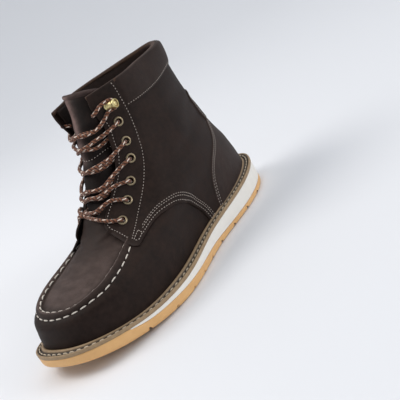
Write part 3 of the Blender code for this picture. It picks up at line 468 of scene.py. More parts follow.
def welt_leather():
    """Veg-tanned welt strip: khaki top, with painted shade in the stitch channel and by the upper."""
    mat, shader, place, add = start_material("welt_strip", 0.55, Specular_IOR_Level=0.4)
    fibre = add("TexNoise", {"Vector": place, "Scale": every(3), "Detail": 4.0})
    tone = add("Mix", {"Factor": fibre, "A": colour("#7d664b"), "B": colour("#a88f6e")}, data_type="RGBA")
    # this value darkens the channel and the lip by the upper: painted shade
    channel = add("Attribute", {}, attribute_name="channel").outputs["Fac"]
    final = add("Mix", {"Factor": channel, "A": tone, "B": colour("#1f1713")}, data_type="RGBA")
    bump = add("Bump", {"Height": fibre, "Strength": 0.2, "Distance": 0.0005})
    feed(shader, {"Base Color": final, "Normal": bump})
    return mat


def two_tones(name, pale, shade, size, detail, roughness, **sockets):
    """Material whose colour drifts between two tones in patches of a size."""
    mat, shader, place, add = start_material(name, roughness, **sockets)
    drift = add("TexNoise", {"Vector": place, "Scale": every(size), "Detail": detail})
    tone = add("Mix", {"Factor": drift, "A": colour(pale), "B": colour(shade)}, data_type="RGBA")
    feed(shader, {"Base Color": tone})
    return mat


def aged_brass(name, bright, dull, roughness):
    """Plated brass, dulled in patches."""
    return two_tones(name, bright, dull, 2.5, 3.0, roughness, Metallic=1.0)


def waxed_thread(name, pale, shade):
    """Twisted thread: matt, with the shade between its plies."""
    return two_tones(name, pale, shade, 1.2, 2.0, 0.7, Specular_IOR_Level=0.3)


def braided_cord():
    """Round braided lace: reddish brown, pale flecks in two slanted sets. UV: x along in mm, y once round."""
    mat, shader, _, add = start_material("braided_lace", 0.8, Sheen_Weight=0.2, Specular_IOR_Level=0.25)
    run = add("SeparateXYZ", {"Vector": add("UVMap", {}, uv_map="cord")}).outputs

    def slant(pitch, turns, sharp):
        """Bands that wind round the cord."""
        along = add("Math", {0: run["X"], 1: TURN / pitch}, operation="MULTIPLY")
        turn = add("Math", {0: run["Y"], 1: TURN * turns, 2: along}, operation="MULTIPLY_ADD")
        wave = add("Math", {0: turn}, operation="SINE")
        return add("MapRange", {"Value": wave, "From Min": 1 - sharp, "From Max": 1.0})

    crossed = add("Math", {0: slant(23.0, 3, 0.55), 1: slant(6.7, 1, 1.0)}, operation="MULTIPLY")
    fleck = add("MapRange", {"Value": crossed, "From Min": 0.15, "From Max": 0.32, "To Max": 0.92})
    brown = add("Mix", {"Factor": slant(3.1, -2, 1.9), "A": colour("#3c2116"), "B": colour("#84553c")},
                data_type="RGBA")
    final = add("Mix", {"Factor": fleck, "A": brown, "B": colour("#e6d6c7")}, data_type="RGBA")
    bump = add("Bump", {"Height": slant(1.8, 2, 1.6), "Strength": 0.5, "Distance": 0.0006})
    feed(shader, {"Base Color": final, "Normal": bump})
    return mat


LEATHER = oiled_leather("oiled_nubuck", "#180f0b", "#231712", "#4a3931", "#7f6d67")
# darker than the other leather: painted shade for the tongue, which lies deep in the throat
SHADED_TONGUE_LEATHER = oiled_leather("tongue_leather_painted_shade", "#100a08", "#19100d", "#3a2c26", "#87706a")
ROLLED = oiled_leather("rolled_edge_leather", "#2a1c15", "#402d23", "#664d3e", "#7d6553", 0.5)
LINING = lining_cloth()
WELT = welt_leather()
FOAM = moulded_rubber("white_wedge_foam", "#efece5", "#e4dfd6", 0.6)
GUM = moulded_rubber("tan_gum_rubber", "#e6b87e", "#d4a369", 0.55, pinholes=True)
BRASS = aged_brass("antique_brass", "#b5a588", "#6a5d49", 0.34)
HOOK_BRASS = aged_brass("polished_brass", "#e6d8a2", "#c6b47e", 0.40)
THREAD = waxed_thread("waxed_thread", "#bdb2a8", "#8c8178")
WELT_THREAD = waxed_thread("welt_thread", "#dccdb6", "#b09d84")
MOC_THREAD = waxed_thread("heavy_waxed_thread", "#e6dfd5", "#c2b8aa")
LACE = braided_cord()


# Mesh helpers


def to_frame(points):
    """Points in mm to metres in the shared frame."""
    return (np.asarray(points, float) + CENTRE) * MM


def mesh_object(name, verts, faces):
    """New object from points in metres."""
    mesh = bpy.data.meshes.new(name)
    mesh.from_pydata(np.asarray(verts).tolist(), [], faces)
    obj = bpy.data.objects.new(name, mesh)
    bpy.context.scene.collection.objects.link(obj)
    return obj


def choose(obj):
    """Makes an object the only one selected."""
    bpy.ops.object.select_all(action="DESELECT")
    obj.select_set(True)
    bpy.context.view_layer.objects.active = obj


def tidy_mesh(obj, merge=True):
    """Merges doubles and turns the faces outwards."""
    choose(obj)
    bpy.ops.object.mode_set(mode="EDIT")
    bpy.ops.mesh.select_all(action="SELECT")
    if merge:
        bpy.ops.mesh.remove_doubles(threshold=2e-6)
    bpy.ops.mesh.normals_make_consistent(inside=False)
    bpy.ops.object.mode_set(mode="OBJECT")


def apply_modifier(obj, name, kind, **settings):
    mod = obj.modifiers.new(name, kind)
    for key, value in settings.items():
        setattr(mod, key, value)
    choose(obj)
    bpy.ops.object.modifier_apply(modifier=mod.name)


def finish_piece(obj, *mats, slot, smooth_angle=None):
    """Materials, smooth shading and body of a finished piece."""
    for mat in mats:
        obj.data.materials.append(mat)
    obj.data.polygons.foreach_set("use_smooth", [True] * len(obj.data.polygons))
    if smooth_angle:
        choose(obj)
        bpy.ops.object.shade_smooth_by_angle(angle=math.radians(smooth_angle))
    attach(obj, "root")
    return obj


def solid_piece(name, verts, faces, *mats, slot, merge=True, smooth_angle=None):
    """Piece from points in mm."""
    obj = mesh_object(name, to_frame(verts), faces)
    tidy_mesh(obj, merge)
    return finish_piece(obj, *mats, slot=slot, smooth_angle=smooth_angle)


def grid_piece(name, points):
    """Sheet from a grid primitive whose points are then set in place (rows, columns, xyz in mm)."""
    rows, cols = points.shape[:2]
    bpy.ops.object.select_all(action="DESELECT")
    bpy.ops.mesh.primitive_grid_add(x_subdivisions=cols - 1, y_subdivisions=rows - 1, size=1.0)
    obj = bpy.context.active_object
    obj.name = obj.data.name = name
    obj.data.vertices.foreach_set("co", to_frame(points.reshape(-1, 3)).ravel())
    obj.data.update()
    return obj


def paint(obj, name, values):
    """Float attribute, one value per point."""
    layer = obj.data.attributes.new(name, "FLOAT", "POINT")
    layer.data.foreach_set("value", np.asarray(values, np.float32))


def ring_faces(rows, cols, closed_rows=False, closed_cols=True):
    """Quads of a grid of points that may close on itself."""
    out = []
    for i in range(rows if closed_rows else rows - 1):
        for j in range(cols if closed_cols else cols - 1):
            i1, j1 = (i + 1) % rows, (j + 1) % cols
            out.append((i * cols + j, i * cols + j1, i1 * cols + j1, i1 * cols + j))
    return out


def run_along(points):
    """Length run along a line of points."""
    return np.concatenate([[0.0], np.cumsum(np.linalg.norm(np.diff(points, axis=0), axis=1))])


def spline(points, step):
    """Smooth line through points, with a point every step."""
    p = np.asarray(points, float)
    run = run_along(p)
    return smooth(run, p, np.linspace(0, run[-1], max(2, int(round(run[-1] / step)) + 1)))


def line_distance(points, line):
    """Distance from each point to an open line."""
    a, d = line[:-1], np.diff(line, axis=0)
    out = np.empty(len(points))
    batch = 400
    for k in range(0, len(points), batch):
        q = points[k:k + batch, None] - a[None]
        t = np.clip((q * d).sum(-1) / ((d * d).sum(-1) + 1e-12), 0, 1)
        out[k:k + batch] = np.linalg.norm(q - t[..., None] * d, axis=-1).min(1)
    return out


def loop_distance(points, loop):
    """Distance from each point to a closed line."""
    return line_distance(points, np.concatenate([loop, loop[:1]]))


def within(points, loop):
    """Which points lie in a closed line."""
    x, y = points[:, 0], points[:, 1]
    hit = np.zeros(len(points), bool)
    for (x0, y0), (x1, y1) in zip(loop, np.roll(loop, -1, axis=0)):
        if y0 != y1:
            hit ^= ((y0 > y) != (y1 > y)) & (x < x0 + (y - y0) / (y1 - y0) * (x1 - x0))
    return hit


def triangulate(rings, points):
    """Flat triangles inside closed lines, through loose points."""
    edges, first = [], 0
    for ring in rings:
        n = len(ring)
        edges += [(first + k, first + (k + 1) % n) for k in range(n)]
        first += n
    flat = np.concatenate([*rings, points])
    found = delaunay_2d_cdt([Vector(p) for p in flat], edges, [], 1, 1e-6)
    return np.array([tuple(p) for p in found[0]]), [tuple(t) for t in found[2]]


# Panels laid on the skin, drawn flat at one height

UNROLL = {}


def unroll(height):
    """Angle against the length run round the skin at one height."""
    if height not in UNROLL:
        t = np.linspace(-math.pi, 3 * math.pi, 1921)
        run = run_along(level(t, np.full(len(t), float(height))))
        UNROLL[height] = (t, run - np.interp(0.0, t, run))
    return UNROLL[height]


def to_flat(line, height):
    angle, run = unroll(height)
    line = np.asarray(line, float)
    return np.c_[np.interp(line[:, 0], angle, run), line[:, 1]]


def from_flat(flat, height):
    angle, run = unroll(height)
    return np.c_[np.interp(flat[:, 0], run, angle), flat[:, 1]]


def flat_line(line, height, step=1.0):
    """Smooth line on the skin, drawn flat."""
    return spline(to_flat(line, height), step)


def shifted(flat, distance):
    """Line moved to its left by a distance, in the flat drawing."""
    d = np.gradient(flat, axis=0)
    d /= np.linalg.norm(d, axis=1)[:, None] + 1e-9
    return flat + distance * np.c_[-d[:, 1], d[:, 0]]


def mirrored(line, side):
    return [(side * t, z) for t, z in line]


EDGE_STEP, SPACING = 1.6, 2.3            # points along a panel's edge and over its face
EDGE_ROWS = (0.35, 0.9)                  # rows of points along the cut edge
HOLE_CLEAR = 0.5                         # no points this close to a hole
EDGE_ROUND, EDGE_DROP = 1.1, 0.75        # radius of the cut edge, share of it that shows
EDGE_WEAR, EDGE_WORN = 0.12, 1.0         # how much the cut edge is rubbed, and over which width
ROW_DEEP, ROW_WIDE = 0.30, 0.8           # stitches pull the leather in


def fill_outline(loop, holes):
    """Triangles that fill a panel's outline around its holes, with close rows of points along the edge."""
    twist = np.sum(loop[:, 0] * np.roll(loop[:, 1], -1) - np.roll(loop[:, 0], -1) * loop[:, 1])
    points = []
    for inset in EDGE_ROWS:
        row = shifted(loop, math.copysign(inset, twist))
        points.append(row[(loop_distance(row, loop) > 0.85 * inset) & within(row, loop)])
    lo, hi = loop.min(0), loop.max(0)
    gx, gy = np.meshgrid(np.arange(lo[0], hi[0], SPACING), np.arange(lo[1], hi[1], SPACING * 0.87))
    gx[1::2] += SPACING / 2
    grid = np.c_[gx.ravel(), gy.ravel()]
    grid = grid[within(grid, loop)]
    points.append(grid[loop_distance(grid, loop) > EDGE_ROWS[-1] + 0.45 * SPACING])
    points = np.concatenate(points)
    for ring in holes:
        points = points[(loop_distance(points, ring) > HOLE_CLEAR) & ~within(points, ring)]
    flat, tris = triangulate([loop, *holes], points)
    tris = np.array(tris)
    for ring in holes:
        tris = tris[~within(flat[tris].mean(1), ring)]
    return flat, tris


def panel(name, lines, low, high, height, holes=(), rows=(), wear=0.0):
    """Leather panel: smooth lines on the skin as its outline, a round edge, holes and sunk stitch rows."""
    loop = np.concatenate([flat_line(line, height, EDGE_STEP)[:-1] for line in lines])
    flat, tris = fill_outline(loop, holes)
    theta, z = from_flat(flat, height).T
    low, high = (face(theta, z) if callable(face) else face for face in (low, high))
    away = loop_distance(flat, loop)
    rounded = np.clip(EDGE_ROUND ** 2 - np.clip(EDGE_ROUND - away, 0, None) ** 2, 0, None)
    high = high - EDGE_DROP * (EDGE_ROUND - np.sqrt(rounded))
    for row in rows:
        high = high - ROW_DEEP * trough(line_distance(flat, row), 0.0, ROW_WIDE)
    n = len(flat)
    verts = np.concatenate([skin(theta, z, high), skin(theta, z, low)])
    faces = [tuple(t) for t in tris] + [tuple(t[::-1] + n) for t in tris]
    rim = {}
    for t in tris:
        for a, b in ((t[0], t[1]), (t[1], t[2]), (t[2], t[0])):
            key = (min(a, b), max(a, b))
            rim[key] = None if key in rim else (a, b)
    faces += [(b, a, a + n, b + n) for a, b in filter(None, rim.values())]
    obj = solid_piece(name, verts, faces, LEATHER, slot="dark_brown_leather", merge=False, smooth_angle=50)
    paint(obj, "wear_and_highlight", np.tile(wear + EDGE_WEAR * ramp(away, EDGE_WORN, 0.0), 2))
    return obj


# Stitches

SECTION = [(math.cos(TURN * k / 6), math.sin(TURN * k / 6)) for k in range(6)]
# share of the stitch, radius, height above the leather (in thread radii)
STITCH = [(-0.5, 0.45, -0.7), (-0.3, 0.95, 0.25), (0.0, 1.0, 0.45), (0.3, 0.95, 0.25), (0.5, 0.45, -0.7)]


class Thread:
    """Collects stitches of one kind of thread to one mesh."""

    def __init__(self):
        self.verts, self.faces = [], []

    def row(self, points, normals, pitch, length, radius):
        """Stitches along a line of points on the leather."""
        run = run_along(points)
        count = max(1, int(run[-1] / pitch))
        for k in range(count):
            s = (k + 0.5) * run[-1] / count + length * np.array([share for share, _, _ in STITCH])
            p, n = (np.array([np.interp(s, run, axis) for axis in line.T]).T for line in (points, normals))
            side = np.cross(n, unit(p[-1] - p[0]))
            first, m = len(self.verts), len(SECTION)
            for q, up, across, (_, r, h) in zip(p, n, side, STITCH):
                self.verts += [q + radius * (across * r * c + up * (r * v + h)) for c, v in SECTION]
            self.faces += [tuple(first + j for j in quad) for quad in ring_faces(len(STITCH), m)]
            last = len(self.verts) - m
            self.faces += [tuple(range(first, first + m))[::-1], tuple(range(last, last + m))]

    def on_skin(self, where, lift, stitch=FINE):
        theta, z = where.T
        self.row(skin(theta, z, lift), outward(theta, z), *stitch)

    def piece(self, name, mat, slot):
        return solid_piece(name, self.verts, self.faces, mat, slot=slot, merge=False)


# Upper

SHELL_COLS = 281
SHELL_SPANS = [(13, 20.0), (40, 50.0), (33, 70.0), (45, 120.0)]      # rows, height to start from
MOC_LOW, MOC_HIGH = 45.0, 57.0           # the moc seam's rows are close between these heights


def moc_lines(theta):
    """Heights of the outer and the inner stitch row of the moc seam, and the angle from the toe."""
    t = from_toe(theta)
    angle, outer, inner = zip(*MOC)
    rise = np.where(np.sin(theta) < 0, MOC_INNER_SIDE * ramp(t, 0.0, 0.3), 0.0)
    return smooth(angle, outer, t) + rise, smooth(angle, inner, t) + rise, t


def moc_relief(theta, z):
    """Rounded ridge between the stitch rows, a groove along the outer row, gathers and the lower plug."""
    outer, inner, t = moc_lines(theta)
    q = (z - outer) / (inner - outer)
    ridge = RIDGE * np.clip(np.sin(math.pi * np.clip(q, 0, 1) ** 1.5), 0, None) ** 0.5
    gather = GATHER * np.sin(t * GATHER_RATE) * trough(q, 1.15, 0.35)
    drop = PLUG_DROP * ease(ramp(q, 0.88, 1.12)) * ramp(z, 82, 66) * ramp(t, 1.3, 1.15)
    fade = ramp(t, MOC_END + 0.05, MOC_END - 0.07)
    return (ridge - RIDGE_GROOVE * trough(q, 0.0, 0.12) + gather) * fade - drop


def throat_edge(z):
    """Angle of the throat's edge at a height."""
    return float(np.interp(z, *zip(*SLIT)))


def shell_rows():
    """Angles and heights of the upper's grid, from the sole to the collar, open at the throat."""
    share = np.linspace(0, 1, SHELL_COLS)

    def even(height):
        """Angles at even steps round the skin at one height."""
        angle, run = unroll(height)
        return np.interp(share * np.interp(TURN, angle, run), run, angle)

    foot, shaft = even(30), even(130)
    levels = [lambda x: sole_top(x) + 0.3, lambda x: MOC_LOW, lambda x: MOC_HIGH, lambda x: THROAT_Z,
              lambda x: smooth(COLLAR_X, COLLAR_Z, x) - 2.2]
    theta, height = [], []
    for (count, start), low, high in zip(SHELL_SPANS, levels[:-1], levels[1:]):
        open_front = high is levels[-1]
        parts = np.linspace(0, 1, count + 1) ** 1.25 if open_front else np.arange(count) / count
        for part in parts:
            slit = throat_edge(THROAT_Z + part * (COLLAR_Z[-1] - THROAT_Z)) if open_front else 0.0
            z = np.full(SHELL_COLS, start)
            for _ in range(SETTLE):
                up = ramp(z, 50, 110)
                t = slit + (foot * (1 - up) + shaft * up) * (1 - slit / math.pi)
                x = level(t, z)[..., 0]
                z = 0.4 * z + 0.6 * (low(x) + part * (high(x) - low(x)))
            theta.append(t)
            height.append(z)
    return np.array(theta), np.array(height)


def make_shell():
    """Vamp, plug and shaft as one leather wall with its lining."""
    theta, height = shell_rows()
    obj = grid_piece("upper_leather", skin(theta, height, BASE + moc_relief(theta, height)))
    outer, inner, t = moc_lines(theta)
    q = (height - outer) / (inner - outer)
    # the plug is paler behind the ridge, partly rubbed nap and partly painted sheen; the ridge has a little
    # wear on top and a painted highlight along its inner edge
    plug = np.interp(height, *PLUG_WEAR_AND_SHEEN) * ramp(q, 0.9, 1.9) * (t < 1.6)
    ridge = (0.25 * trough(q, 0.5, 0.4) + 1.5 * trough(q, 0.84, 0.11)) * (t < MOC_END)
    paint(obj, "wear_and_highlight", np.clip(ridge + plug, 0, 1.5).ravel())
    open_eyelet_holes(obj)
    tidy_mesh(obj)
    apply_modifier(obj, "wall", "SOLIDIFY", thickness=WALL * MM, offset=-1.0, material_offset=1, use_rim=True)
    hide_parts("upper")
    return finish_piece(obj, LEATHER, LINING, slot="dark_brown_leather")


def open_eyelet_holes(obj):
    """Takes the wall away under each eyelet."""
    co = np.empty(len(obj.data.vertices) * 3)
    obj.data.vertices.foreach_get("co", co)
    co = co.reshape(-1, 3) / MM - CENTRE
    drop = np.zeros(len(co), bool)
    for side, _ in SIDES:
        for t, z in EYELETS:
            q, out = co - skin(side * t, z, BASE), outward(side * t, z)
            h = q @ out
            drop |= (np.abs(h) < 4) & (np.linalg.norm(q - h[:, None] * out, axis=1) < EYELET_HOLE - 0.3)
    choose(obj)
    bpy.ops.object.mode_set(mode="EDIT")
    bpy.ops.mesh.select_all(action="DESELECT")
    bpy.ops.object.mode_set(mode="OBJECT")
    obj.data.vertices.foreach_set("select", drop)
    bpy.ops.object.mode_set(mode="EDIT")
    bpy.ops.mesh.select_mode(type="VERT")
    bpy.ops.mesh.delete(type="VERT")
    bpy.ops.object.mode_set(mode="OBJECT")


def axes_at(t, z):
    """Directions across, up and out at a place on the skin."""
    out = outward(t, z)
    across = unit(np.cross([0, 0, 1.0], out))
    return across, np.cross(out, across), out


def hole_ring(t, z, radius, height, count=18):
    """Round hole on the skin, drawn flat."""
    here, (across, up, _) = level(t, z), axes_at(t, z)
    dt, dz = (level(t + 0.01, z) - here) / 0.01, (level(t, z + 0.5) - here) / 0.5
    turn = TURN * np.arange(count) / count
    circle = radius * np.array([np.cos(turn), np.sin(turn)])
    d = np.linalg.solve(np.array([[dt @ across, dz @ across], [dt @ up, dz @ up]]), circle)
    return to_flat(np.c_[t + d[0], z + d[1]], height)


QUARTER_FLAT, COUNTER_FLAT, STAY_FLAT = 85, 45, 100      # heights at which the panels are drawn flat


def foot_line(angles, start):
    """Line just above the sole, between two angles."""
    return list(zip(angles, above_sole(angles, FEATHER, start)))


def quarter_outline(side):
    """Outline of a side panel, and the line of its front edge that is stitched."""
    forward = lambda z: (side < 0) * FORWARD * ramp(z, 132, 150)
    front = [(t - forward(z), z) for t, z in FRONT_EDGE]
    tops = np.linspace(TOP_CORNER, front[0][0], 6)
    top = list(zip(tops, collar(side * tops) + TOP_PAST))
    foot_angles = np.linspace(*FOOT_ANGLES, 4)
    foot = [(side * t, z) for t, z in foot_line(side * foot_angles, 20)]
    lines = [[top[-1]] + front[1:], ARC_EDGE[:-1] + [foot[0]], foot, [foot[-1]] + UNDER_COUNTER, BACK_SEAM,
             UNDER_CUFF, BY_CUFF + [top[0]], top]
    stitched = [(0.68 - forward(146), 146)] + front[3:-1]
    return [mirrored(line, side) for line in lines], mirrored(stitched, side)


def make_quarters(thread):
    """Side panels with the eyelet rows."""
    for side, word in SIDES:
        outline, front = quarter_outline(side)
        row = flat_line(front, QUARTER_FLAT)
        near, far = (shifted(row, side * d) for d in ROW_INSET["front"])
        share = ramp(row[:, 1:], 66, 84)
        arc = flat_line(mirrored(ARC_EDGE[2:], side), QUARTER_FLAT)
        rows = [near * (1 - share) + far * share, flat_line(mirrored(EYESTAY_ROW, side), QUARTER_FLAT)]
        rows += [shifted(arc, side * d) for d in ROW_INSET["arc"]]
        holes = [hole_ring(side * t, z, EYELET_HOLE, QUARTER_FLAT) for t, z in EYELETS]
        lobe = lambda t, z: (side < 0) * LOBE * trough(t, -0.42, 0.20) * trough(z, 76.5, 7.5)
        obj = panel("quarter_%s_leather" % word, outline, lambda t, z: lobe(t, z) + UNDERSIDE,
                    lambda t, z: lobe(t, z) + FACE, QUARTER_FLAT, holes=holes, rows=rows)
        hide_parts("quarter_" + word)
        for row in rows:
            where = from_flat(row, QUARTER_FLAT)
            thread.on_skin(where, lobe(*where.T) + FACE - SUNK)
        box = mirrored(TAB_BOX + TAB_BOX[:1], side)
        for edge in zip(box[:-1], box[1:]):
            thread.on_skin(from_flat(flat_line(edge, QUARTER_FLAT), QUARTER_FLAT), FACE, TAB)


def make_heel(thread):
    """Counter and the strip above it."""
    wrap = lambda line: [(TURN - t, z) for t, z in line]

    def stitched(line, flat, inset, face):
        """Rows along a line and along its mirror image, drawn flat."""
        rows = [shifted(flat_line(line, flat), -inset), shifted(flat_line(wrap(line), flat), inset)]
        for row in rows:
            thread.on_skin(from_flat(row, flat), face - SUNK)
        return rows

    low = foot_line(np.linspace(2.0, TURN - 2.0, 24), 22)
    edge = [low[0]] + COUNTER_EDGE[1:]
    crown = [edge[-1]] + COUNTER_CROWN + [wrap(edge)[-1]]
    rows = sum((stitched(COUNTER_EDGE, COUNTER_FLAT, d, HEEL_FACE) for d in ROW_INSET["counter"]), [])
    obj = panel("counter_leather", [low, wrap(edge), crown[::-1], edge[::-1]], UNDERSIDE, HEEL_FACE,
                COUNTER_FLAT, rows=rows, wear=HEEL_WEAR)
    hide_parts("counter")
    bottom = [STAY_EDGE[0]] + STAY_FOOT + [wrap(STAY_EDGE)[0]]
    top = [STAY_EDGE[-1], STAY_TOP, wrap(STAY_EDGE)[-1]]
    obj = panel("rear_stay_leather", [bottom, wrap(STAY_EDGE), top[::-1], STAY_EDGE[::-1]], UNDERSIDE,
                STAY_FACE, STAY_FLAT, wear=HEEL_WEAR)
    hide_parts("rear_stay")
    stitched(STAY_EDGE, STAY_FLAT, ROW_INSET["stay"], STAY_FACE)


def heel_padding(m):
    """Share of the collar's extra padding, from none at the sides to all at the heel."""
    return ease(ramp(m, 1.75, 2.85))


def make_cuff(thread):
    """Padded band, rolled over the top edge and thickest at the heel."""
    t = np.linspace(CUFF_START - 0.02, TURN - CUFF_START + 0.02, 220)
    m = from_toe(t)
    corner_t, corner_z = CUFF_SEAM[0]
    corner = np.interp(m, [CUFF_START, corner_t], [150, corner_z])
    seam = np.where(m < corner_t, corner, smooth(*zip(*CUFF_SEAM), m))
    top, heel = collar(t), heel_padding(m)
    pad = ramp(m, corner_t, 1.32) ** 0.7
    face = np.interp(m, [1.09, 1.14], [FACE - 0.7, CUFF_FACE])
    base, tall = 1.2 + 2.0 * heel, 1.4 + 2.2 * heel
    inset = ROW_INSET["cuff"]

    def swell(share):
        """Height of the padding between the seam and the top edge."""
        return CUFF_PAD * math.sin(math.pi * (0.12 + 0.80 * share)) ** 0.8 * pad

    rows = []
    for s in np.linspace(0, 1, 22):
        tuck = 0.55 * (s < 0.02) + 0.5 * trough((top - seam) * s, inset, 0.9)
        rows.append(skin(t, seam + (top - base - seam) * s, face + swell(s) - tuck))
    # over the top edge and down inside
    inner = CUFF_INSIDE + HEEL_PAD * heel + 0.2
    middle, reach = (face - inner) / 2 + 0.3 * pad, (face + inner) / 2 + 0.25 * pad
    for a in np.linspace(0.12, 1, 9) * math.pi:
        rows.append(skin(t, top - base + tall * math.sin(a), middle + reach * math.cos(a)))
    for down, share in ((4.0, 1.0), (9.0, 0.85), (14.0, 0.55), (19.0, 0.2), (24.0, 0.0)):
        rows.append(skin(t, top - down, -CUFF_INSIDE - HEEL_PAD * share * heel))
    obj = grid_piece("cuff_leather", np.array(rows))
    paint(obj, "wear_and_highlight", np.full(len(obj.data.vertices), CUFF_WEAR))
    tidy_mesh(obj, merge=False)
    apply_modifier(obj, "leather", "SOLIDIFY", thickness=CUFF_THICK * MM, offset=-1.0)
    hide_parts("cuff")
    finish_piece(obj, LEATHER, slot="dark_brown_leather")
    keep = m > corner_t + 0.01
    thread.on_skin(np.c_[t, seam + inset][keep], (face + swell(0.06) - 0.45)[keep])


def make_collar_roll():
    """Rolled edge round the opening, from one throat edge to the other."""
    t = np.linspace(*ROLL_ENDS, 260)
    m = from_toe(t)
    wide, tall = ROLL_R + 1.9 * ramp(m, 1.0, 1.8), ROLL_R + 0.8 * ramp(m, 1.6, 2.4)
    middle = -1.0 - 0.5 * ramp(m, 1.0, 1.8) - 0.62 * HEEL_PAD * heel_padding(m)
    z = collar(t) - 1.2 + ROLL_R - tall
    turns = np.linspace(0, TURN, 13)[:-1]
    rows = np.array([skin(t, z + tall * math.sin(a), middle + wide * math.cos(a)) for a in turns])
    n, k = rows.shape[:2]
    faces = ring_faces(n, k, closed_rows=True, closed_cols=False)
    faces += [tuple(i * k for i in range(n)), tuple(i * k + k - 1 for i in range(n))[::-1]]
    obj = solid_piece("collar_roll", rows.reshape(-1, 3), faces, ROLLED, slot="dark_brown_leather")
    paint(obj, "wear_and_highlight", np.full(len(obj.data.vertices), 0.25))


def tongue_swell(across, z):
    """Padding that fills the inner half of the throat."""
    return TONGUE_SWELL * trough(across, -0.45, 0.35) * ramp(z, 84, 94) * ramp(z, 146, 136)


def tongue_half(z):
    """Half angle of the tongue at a height."""
    return np.interp(z, *zip(*TONGUE_EDGE))


def tongue_surface(z, across, more):
    """Point of the tongue's face, with a distance outwards; its free top bends in tighter than the collar."""
    crown = 1 - across ** 2
    lift = TONGUE_FACE + (1.6 * trough(z, 116, 7.5) + 1.3 * trough(z, 138, 9)) * crown
    lift = lift - 0.9 * trough(z, 125.2, 1.2) + 0.5 * np.sin(across * 5 + z * 0.21) * crown
    lift = lift + np.interp(z, [78, 88, 97], [2.2, 1.0, 0.0]) - 1.2 * np.abs(across) ** 6
    held = skin(across * tongue_half(z), z, lift + tongue_swell(across, z) + more)
    bend = across * TONGUE_HALF / TONGUE_R
    middle = level(np.zeros_like(z), z)
    out = TONGUE_R + more + 0.6 * np.sin(across * 4 + z * 0.16)
    axis = middle[..., 0] - np.interp(z, TONGUE_DEEP_Z, TONGUE_DEEP) - TONGUE_R
    free = np.stack([axis + out * np.cos(bend), middle[..., 1] + TONGUE_ASIDE + out * np.sin(bend), z], -1)
    share = ease(ramp(z, 122, 156))[..., None]
    return held * (1 - share) + free * share


def make_tongue(thread):
    """Tongue with a rolled top, padded between its cross seams."""
    held, free = np.linspace(TONGUE_FOOT, TONGUE_FREE, 60), np.linspace(TONGUE_FREE + 1, TONGUE_TOP, 36)
    edge = np.linspace(-1, 1, 61)
    z, across = np.meshgrid(np.concatenate([held, free]), edge, indexing="ij")
    fall = np.where(across > TONGUE_PEAK, *TONGUE_FALL)
    z = z - fall * (across - TONGUE_PEAK) ** 2 * ramp(z, TONGUE_FREE, TONGUE_FREE + 26)
    below = z[-1] - z
    more = 0.9 * trough(below, 0.6, 1.5) - 0.6 * trough(below, 3.2, 0.7)
    rows = list(tongue_surface(z, across, more))
    over = np.linspace(0.2, 1, 6) * math.pi
    for a in over:
        rows.append(tongue_surface(z[-1] + 1.3 * math.sin(a), edge, more[-1] - 1.7 + 1.7 * math.cos(a)))
    obj = grid_piece("tongue_leather", np.array(rows))
    # a painted highlight runs down the tongue's face; its rolled top edge is paler too
    painted_highlight = 2.6 * trough(across, TONGUE_HIGHLIGHT_AT, 0.20) * ramp(z, 118, 138)
    wear_and_highlight = np.maximum(0.7 * ramp(below, 3.4, 2.6), painted_highlight)
    paint(obj, "wear_and_highlight", np.concatenate([wear_and_highlight.ravel(), np.full(len(over) * len(edge), 0.7)]))
    tidy_mesh(obj, merge=False)
    apply_modifier(obj, "leather", "SOLIDIFY", thickness=TONGUE_THICK * MM, offset=-1.0)
    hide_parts("tongue")
    finish_piece(obj, SHADED_TONGUE_LEATHER, slot="dark_brown_leather")
    row = np.linspace(-0.9, 0.9, 60)
    seam = np.full(len(row), TONGUE_SEAM)
    thread.row(tongue_surface(seam, row, 0.05), outward(row * tongue_half(seam), seam), *FINE)


# Fittings


def turned(profile, count=28):
    """Points and quads of a profile turned about Z (metres)."""
    angle = TURN * np.arange(count) / count
    verts = [(r * math.cos(a) * MM, r * math.sin(a) * MM, h * MM) for r, h in profile for a in angle]
    return verts, ring_faces(len(profile), count)


def place_fitting(obj, t, z, lift):
    """Bakes a fitting's place on the skin into its mesh: local X across, Y up, Z outward."""
    turn = np.stack(axes_at(t, z), 1)
    obj.data.transform(Matrix(np.block([[turn, to_frame(skin(t, z, lift))[:, None]], [0, 0, 0, 1]])))
    tidy_mesh(obj)


def make_eyelets():
    """Rolled brass eyelets, turned from one profile."""
    for side, word in SIDES:
        for k, (t, z) in enumerate(EYELETS):
            obj = mesh_object("eyelet_ring_%s_%d" % (word, k + 1), *turned(EYELET_PROFILE))
            place_fitting(obj, side * t, z, FACE + 0.2)
            finish_piece(obj, BRASS, slot="antique_brass")
            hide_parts("eyelet_%s_%d" % (word, k + 1))


def make_hooks():
    """Speed hook: a riveted plate and a leaning stud with a grooved head, which the lace runs behind."""
    for side, word in SIDES:
        base, foot = turned(HOOK_PLATE)
        post, walls = turned(HOOK_STUD)
        lean = Matrix.Rotation(side * HOOK_LEAN, 4, "Y") @ Matrix.Rotation(0.15 * HOOK_LEAN, 4, "X")
        verts = base + [tuple(lean @ Vector(p)) for p in post]
        faces = foot + [tuple(k + len(base) for k in f) for f in walls]
        obj = mesh_object("speed_hook_" + word, verts, faces)
        place_fitting(obj, side * (HOOK[0] - HOOK_FORWARD), HOOK[1], FACE + 0.1)
        finish_piece(obj, HOOK_BRASS, slot="antique_brass", smooth_angle=40)
        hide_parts("hook_" + word)


# Lace

LACE_OVER = FACE + LACE_R + 0.25         # middle of the lace on the quarter, on the tongue and on the vamp
LACE_UNDER = TONGUE_FACE + LACE_R + 0.3
LACE_ON_VAMP = BASE + LACE_R + 0.3


